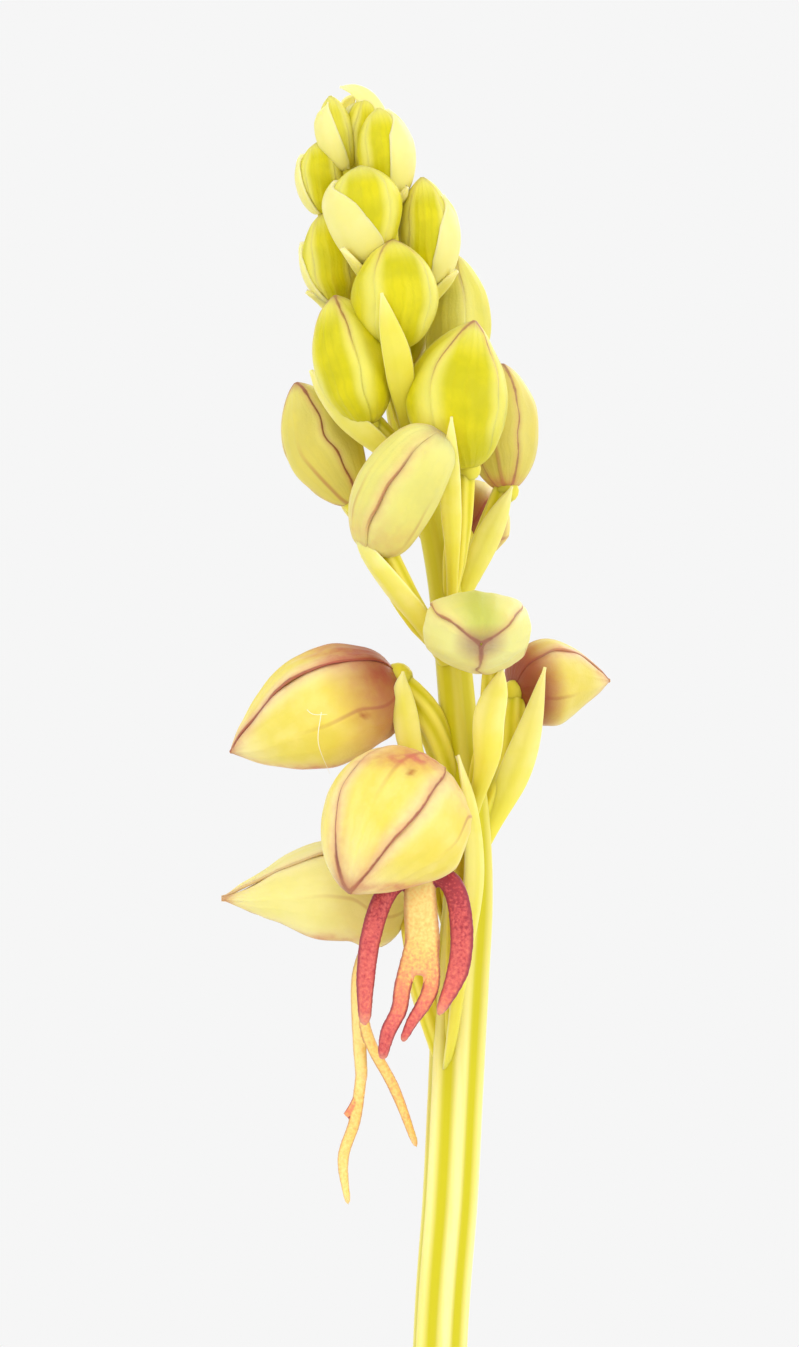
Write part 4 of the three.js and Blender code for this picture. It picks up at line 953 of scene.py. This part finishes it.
def add_strand(body, strand, thickness):
    """One arm, leg or body of a lip. Gives back its places, sides, half widths, warmths and shares."""
    shares = np.linspace(0, 1, STRAND_ROWS)
    round_tip = np.sqrt(np.clip(closing(shares, ROUND_TIP, 2), 0.05, 1))
    half = values_along(strand["width"], shares) / 2
    thin = np.minimum(half, thickness / 2) * round_tip
    half = half * round_tip
    line = [at(*point) for point in strand["line"]]
    body.add_tube(rings(line, shares, thin[:, None], half[:, None], around(STRAND_SIDES)))
    place, _, side = stations(line, shares, FRONT)
    return place, side, half, values_along(strand["warm"], shares), shares


def bake_modifiers(piece):
    """Swaps a piece's mesh for the one that its modifiers give."""
    graph = bpy.context.evaluated_depsgraph_get()
    mesh = bpy.data.meshes.new_from_object(piece.evaluated_get(graph))
    old = piece.data
    piece.modifiers.clear()
    piece.data = mesh
    bpy.data.meshes.remove(old)


def join_strands(piece, voxel):
    """Makes one soft body out of strands that cross."""
    remesh = piece.modifiers.new("joined", "REMESH")
    remesh.mode = "VOXEL"
    remesh.voxel_size = voxel * MM
    soften = piece.modifiers.new("soft", "SMOOTH")
    soften.factor = 0.6
    soften.iterations = 6
    bake_modifiers(piece)


def strand_fields(points, samples):
    """The lip's warmth, rim and tip at each point, taken from the strand that the point is nearest."""
    best = np.full(len(points), np.inf)
    fields = {name: np.zeros(len(points)) for name in ("warmth", "rim", "tip")}
    rows = np.arange(len(points))
    for place, side, half, warm, shares in samples:
        apart = points[:, None] - place[None]
        far = np.linalg.norm(apart, axis=2) / half**0.5
        near = far.argmin(1)
        sideways = abs((apart[rows, near] * side[near]).sum(1)) / half[near]
        better = far[rows, near] < best
        best[better] = far[rows, near][better]
        for name, value in (("warmth", warm[near]), ("rim", sideways), ("tip", shares[near])):
            fields[name][better] = value[better]
    return fields


BEAD_HEIGHT, BEAD_SIZE = 0.016, 0.17
FINE_BEAD_HEIGHT, FINE_BEAD_SIZE = 0.012, 0.08


def build_lip(spec, skin):
    """Strands joined into one fleshy body with a beaded skin."""
    strands = Body()
    samples = [add_strand(strands, strand, spec["thickness"]) for strand in spec["strands"]]
    piece = strands.made(spec["name"] + "_strands", skin)
    join_strands(piece, spec["voxel"])
    mesh = piece.data
    points = np.array([vertex.co for vertex in mesh.vertices]) / MM
    normals = np.array([vertex.normal for vertex in mesh.vertices])
    beads = BEAD_HEIGHT * ripple(points, BEAD_SIZE) + FINE_BEAD_HEIGHT * ripple(points, FINE_BEAD_SIZE, 7)
    faces = [tuple(polygon.vertices) for polygon in mesh.polygons]
    fleshy = Body()
    fleshy.add(points + normals * spec["grain"] * beads[:, None], faces, **strand_fields(points, samples))
    bpy.data.objects.remove(piece)
    placed(fleshy.made(spec["name"] + "_flesh", skin, sharp=180), "lip", spec["name"])


# The stem's ribs: how many, how far they are turned, how high they stand as a share of its radius, and
# how much of their colour shows, from the foot to the tip.
STEM_ROWS, STEM_SIDES = 300, 60
STEM_RIBS = 6
STEM_TURN = -0.65
RIB_HEIGHTS = [0.1, 0.12, 0.14, 0.12, 0.05, 0.03]
RIB_COLOURS = [1, 1, 1, 0.95, 0.3, 0.1, 0.05]


def build_stem():
    body = Body()
    shares, turn = np.linspace(0, 1, STEM_ROWS), around(STEM_SIDES)
    phase = STEM_TURN + 0.5 * np.sin(shares[:, None] * 9)
    rib = smooth(0.5 + 0.5 * np.cos(STEM_RIBS * turn + phase), 0.12, 1.0)
    height = values_along(RIB_HEIGHTS, shares)[:, None]
    reach = values_along(STEM_RADII, shares)[:, None] * (1 + height * (rib - 0.55))
    tint = rib * values_along(RIB_COLOURS, shares)[:, None]
    body.add_tube(rings(STEM_LINE, shares, reach, reach, turn), rib=tint)
    placed(body.made("stem_skin", stem_material()), "stem", "stem")


TIP_BUDS = [
    grown("tip_bud_1", 1.5, 1.4, head=[(362, 178, -0.3), (361, 136, -0.5), (366, 98, -0.4)],
          roll=20, blush=0.1),
    grown("tip_bud_2", 1.1, 1.1, head=[(352, 165, -0.1), (352, 130, -0.2), (356, 103, -0.2)],
          roll=-30, blush=0.1, pale=0.7),
]
TIP_ROWS, TIP_COLUMNS = 34, 15
TIP_BEND = (55, 25)
TIP_THICKNESS = 0.16
TIP_PALE = 0.8
TIP_BRACTS = [
    dict(line=[at(380, 172, -0.4), at(382, 132, -0.7), at(371, 104, -0.6), at(356, 91, -0.5),
               at(340, 88, -0.4)], width=1.15, facing=toward(0.3, -0.95, 0)),
    dict(line=[at(352, 160, 0.4), at(346, 125, 0.5), at(348, 104, 0.3), at(356, 94, 0)],
         width=1.1, facing=BACK),
    dict(line=[at(366, 165, 0.5), at(366, 128, 0.7), at(364, 102, 0.5), at(358, 90, 0.2)],
         width=1.3, facing=BACK),
]


def build_tip(skin, bract_skin):
    """The young tip: the smallest buds and the pale bracts that hook over them."""
    buds = Body()
    for bud in TIP_BUDS:
        add_sepals(buds, bud)
    placed(buds.made("spike_tip_buds", skin), "bud", "spike_tip")
    scales = Body()
    shares, across = np.linspace(0, 1, TIP_ROWS), spread(TIP_COLUMNS)
    bend = np.radians(mixed(*TIP_BEND, shares))
    for scale in TIP_BRACTS:
        width = scale["width"] * np.maximum(LEAST_WIDTH, closing(shares, 0, 2.4))
        add_blade(scales, scale["line"], scale["facing"], shares, across, width, bend, TIP_THICKNESS,
                  pale=TIP_PALE)
    placed(scales.made("spike_tip_scales", bract_skin), "bud", "spike_tip")


LEAF_SHARES, LEAF_ACROSS = np.linspace(0, 1, 90), spread(57)
LEAF_THICKNESS, LEAF_VEINS = 0.5, 14
SHEATH_THICKNESS, SHEATH_VEINS = 0.4, 10
LEAF_LEAST_WIDTH = 0.25
GROOVE_DEPTH = 0.09
MIDRIB_HEIGHT, MIDRIB_WIDTH = 0.28, 0.07
WAVE_HEIGHT = 0.35
# The foot of a rosette leaf: how far from the axis it stands and the angle it takes in, each side.
LEAF_FOOT_RADIUS, LEAF_FOOT_ANGLE = 2.75, math.radians(50)
SHEATH_ANGLE = math.radians(156)


def build_leaf(spec, skin, line, out, width, bend, thickness, veins):
    """A leaf with grooves between its veins, a midrib and a waved edge."""
    between_veins = abs(np.sin(veins * np.pi * LEAF_ACROSS / 2))
    ribs = MIDRIB_HEIGHT * bump(LEAF_ACROSS, MIDRIB_WIDTH) - GROOVE_DEPTH * between_veins**0.5
    wave = WAVE_HEIGHT * LEAF_ACROSS**2 * np.sin(LEAF_SHARES[:, None] * 14 + spec["heading"])
    body = Body()
    add_blade(body, line, out, LEAF_SHARES, LEAF_ACROSS, np.maximum(LEAF_LEAST_WIDTH, width), bend,
              thickness, ribs + wave, vein=1 - between_veins**0.35)
    # The first half of a blade's points is the side that faces away from the stem.
    body.fields["under"] = [np.repeat([1.0, 0.0], body.count // 2)]
    placed(body.made(spec["name"] + "_blade", skin), "leaf", spec["name"])


def heading(spec):
    turn = math.radians(spec["heading"])
    return np.array([math.cos(turn), math.sin(turn), 0])


def build_rosette_leaf(spec, skin):
    out, foot = heading(spec), SOIL_TOP + SOIL_CROWN + spec["start"]
    length, rise, fall = spec["length"], spec["rise"], spec["fall"]
    profile = [
        (LEAF_FOOT_RADIUS, 0), (LEAF_FOOT_RADIUS + 0.5, 5), (0.16 * length, 5 + 0.6 * rise),
        (0.42 * length, 5 + rise), (0.72 * length, 5 + rise - 0.3 * fall),
        (0.96 * length, 5 + rise - fall),
    ]
    line = [out * radius + UP * (foot + height) for radius, height in profile]
    foot_width = 2 * LEAF_FOOT_RADIUS * LEAF_FOOT_ANGLE
    width = mixed(foot_width, spec["width"], smooth(LEAF_SHARES, 0.08, 0.6))
    width = width * closing(LEAF_SHARES, 0.55, 1.8)
    bend = mixed(LEAF_FOOT_ANGLE, math.radians(24), smooth(LEAF_SHARES, 0.1, 0.45))
    build_leaf(spec, skin, line, out, width, bend, LEAF_THICKNESS, LEAF_VEINS)


def build_sheath(spec, skin):
    """A stem leaf, which clasps the stem with its lower half and stands off with its upper half."""
    out, clasp = heading(spec), spec["clasp"]
    line = []
    for share, away in ((0, 0), (0.25, 0), (0.5, 0.4), (0.75, 3), (1, 8)):
        level = SOIL_TOP + spec["start"] + share * spec["length"]
        centre = [np.interp(level, STEM_LINE[:, 2], STEM_LINE[:, axis]) for axis in range(3)]
        line.append(centre + out * (clasp + away))

    free, open_share = spec["width"] * closing(LEAF_SHARES, 0.45, 1.6), smooth(LEAF_SHARES, 0.25, 0.6)
    width = mixed(2 * SHEATH_ANGLE * clasp, free, open_share)
    bend = mixed(SHEATH_ANGLE, math.radians(26), open_share)
    build_leaf(spec, skin, line, out, width, bend, SHEATH_THICKNESS, SHEATH_VEINS)


def build_leaves():
    skin = leaf_material()
    for spec in LEAVES:
        build_rosette_leaf(spec, skin)
    for spec in SHEATHS:
        build_sheath(spec, skin)


# The pot's outline as in the solid: radius and height of each corner, and how far it is rounded.
POT_OUTLINE = [
    (0, 0, 0), (27, 0, 1.2), (35, 54, 0.8), (37.4, 56, 1.0), (40, 70, 1.6), (35.8, 70, 1.6),
    (33.2, 55, 1.5), (23.8, 6.5, 1.8), (21.8, 5, 0.5), (0, 5, 0),
]
POT_SIDES = 160
POT_ROW_HEIGHT = 3
CORNER_STEPS = 5
HOLES, HOLE_RADIUS, HOLE_CIRCLE = 3, 2.6, 14
HOLE_BOTTOM, HOLE_TOP = -3, 9


def unit(vector):
    return vector / np.linalg.norm(vector)


def rounded(outline):
    """The outline's points with each corner replaced by a curve of about that radius."""
    corners = np.array(outline, float)
    places, points = corners[:, :2], [corners[0, :2]]
    for before, here, after, radius in zip(places, places[1:], places[2:], corners[1:, 2]):
        start = here + unit(before - here) * radius
        end = here + unit(after - here) * radius
        for share in np.linspace(0, 1, CORNER_STEPS + 1):
            points.append((1 - share) ** 2 * start + 2 * share * (1 - share) * here + share**2 * end)
    return points + [places[-1]]


def build_pot():
    outline = rounded(POT_OUTLINE)
    fine = [outline[0]]
    for one, other in zip(outline, outline[1:]):
        steps = max(1, int(np.linalg.norm(other - one) / POT_ROW_HEIGHT))
        fine += [mixed(one, other, (k + 1) / steps) for k in range(steps)]
    turn = around(POT_SIDES)
    body = Body()
    body.add_tube(np.array([level_ring(radius, turn, height) for radius, height in fine[1:-1]]))
    pot = body.made("clay_pot", clay_material(), sharp=80)
    cutters = Body()
    for i in range(HOLES):
        way = (i + 0.25) / HOLES * 2 * np.pi
        middle = [HOLE_CIRCLE * math.cos(way), HOLE_CIRCLE * math.sin(way), 0]
        hole = [level_ring(HOLE_RADIUS, turn[::5], height) + middle for height in (HOLE_BOTTOM, HOLE_TOP)]
        cutters.add_tube(np.array(hole))
    cutter = cutters.made("hole_cutter", pot.data.materials[0])
    cut = pot.modifiers.new("holes", "BOOLEAN")
    cut.object = cutter
    cut.operation = "DIFFERENCE"
    bake_modifiers(pot)
    bpy.data.objects.remove(cutter)
    placed(pot, "clay", "pot")


def level_ring(radius, turn, height=0.0):
    """Points of a level circle at that height."""
    return np.stack([radius * np.cos(turn), radius * np.sin(turn), np.full(len(turn), height)], -1)


SOIL_RIM, SOIL_BOTTOM = 33.9, 56.5
SOIL_ROWS, SOIL_SIDES = 60, 180
SOIL_SEED = 7
CRUMBS = 900
STONE_SHARE = 0.05


def soil_height(x, y):
    """The soil's crown, which rises to the stem, with broad lumps."""
    share = np.clip(np.hypot(x, y) / SOIL_RIM, 0, 1)
    lumps = np.sin(0.55 * x + 0.3 * y) * np.cos(0.47 * y - 0.2 * x) + 0.6 * np.sin(1.1 * x - 0.9 * y)
    return SOIL_TOP + SOIL_CROWN * (1 - share) ** 1.5 + 0.7 * (1 - share**6) * lumps


def build_soil():
    """A crumbly surface with loose crumbs and a few small stones on it."""
    rng = np.random.default_rng(SOIL_SEED)
    turn = around(SOIL_SIDES)
    radii = np.array([SOIL_RIM, SOIL_RIM, *np.linspace(SOIL_RIM - 0.2, 2.1, SOIL_ROWS)])
    x, y = radii[:, None] * np.cos(turn), radii[:, None] * np.sin(turn)
    grid = np.stack([x, y, soil_height(x, y)], -1)
    grid[..., 2] += 0.5 * ripple(grid, 2.4) + 0.25 * ripple(grid, 0.9, 5)
    grid[0, :, 2] = SOIL_BOTTOM
    grid[1, :, 2] = SOIL_TOP - 0.4
    body = Body()
    body.add_tube(grid, stone=0.0)
    ball, faces = CRUMB
    for _ in range(CRUMBS):
        way = rng.uniform(0, 2 * np.pi)
        far = SOIL_RIM * math.sqrt(rng.uniform(0.006, 0.93))
        size = rng.uniform(0.25, 0.85) ** 1.5 * 1.25
        x, y = far * math.cos(way), far * math.sin(way)
        shape = ball * rng.uniform(0.6, 1.15, 3) * size
        shape = shape * (1 + 0.25 * rng.uniform(-1, 1, (len(ball), 1)))
        stone = float(rng.uniform() < STONE_SHARE)
        body.add(shape + [x, y, soil_height(x, y) + 0.15 * size], faces, stone=stone)
    placed(body.made("soil_crumbs", soil_material(), sharp=40), "soil", "soil")


FLOOR_RADIUS, FLOOR_DROP = 900, 0.2
# Where the floor starts to fade into the surround, and where it is gone, in metres from the pot.
FADE_START, FADE_END = 0.15, 0.72


def floor_material():
    paint = Paint("floor_paint", roughness=0.9, specular=0.5)
    away = paint.node("ShaderNodeVectorMath", "Value", {0: paint.place}, operation="LENGTH")
    paint.set(paint.shader.inputs["Alpha"], paint.fall(away, FADE_START, FADE_END))
    paint.base = colour(240, 240, 240)
    return paint.done()


def build_floor():
    """A round pale floor whose edge fades out."""
    body = Body()
    body.add(level_ring(FLOOR_RADIUS, around(96)), [range(96)])
    floor = body.made("floor", floor_material())
    floor.location.z = -FLOOR_DROP * MM


def build_surround():
    """Bright even light from all sides, which is also the backdrop."""
    world = bpy.data.worlds.new("surround")
    world.use_nodes = True
    backdrop = world.node_tree.nodes["Background"]
    backdrop.inputs["Color"].default_value = colour(246, 246, 246)
    backdrop.inputs["Strength"].default_value = 1.0
    bpy.context.scene.world = world


# Soft round lights, all turned to the middle of the spike: place and size in metres, and watts.
LIGHTS = [
    ("key", (-0.3, -0.5, 0.6), 0.5, 1.3),
    ("side", (0.45, -0.35, 0.3), 0.4, 1.0),
    ("fill", (-0.5, -0.35, 0.12), 0.4, 0.35),
    ("back", (0.3, 0.45, 0.5), 0.4, 1.3),
]


def build_lights():
    target = Vector(at(400, 640) * MM)
    for name, place, size, watts in LIGHTS:
        light = bpy.data.lights.new(name, "AREA")
        light.shape = "DISK"
        light.size = size
        light.energy = watts
        lamp = linked(name, light)
        lamp.location = place
        lamp.rotation_euler = (target - Vector(place)).to_track_quat("-Z", "Y").to_euler()


CAMERA_LENS = 250
CAMERA_FILM = 36


def build_camera():
    """Level and straight on, with a long lens that takes in the picture's height at the spike."""
    camera = bpy.data.cameras.new("camera")
    camera.sensor_fit = "VERTICAL"
    camera.sensor_height = CAMERA_FILM
    camera.lens = CAMERA_LENS
    camera.clip_start = 0.01
    distance = PICTURE_HEIGHT * CAMERA_LENS / CAMERA_FILM
    holder = linked("camera", camera)
    holder.location = at(PICTURE_COLUMNS / 2, PICTURE_ROWS / 2, -distance) * MM
    holder.rotation_euler = (math.pi / 2, 0, 0)
    bpy.context.scene.camera = holder


build_camera()
build_floor()
build_surround()
build_lights()
build_stem()
build_spike()
build_hairs()
lip_skin = lip_material()
for lip in LIPS:
    build_lip(lip, lip_skin)
build_leaves()
build_pot()
build_soil()
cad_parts["tubers"].material_slots[0].material = tuber_material()

scene = bpy.context.scene
scene.view_settings.view_transform = "Standard"
scene.view_settings.look = "None"
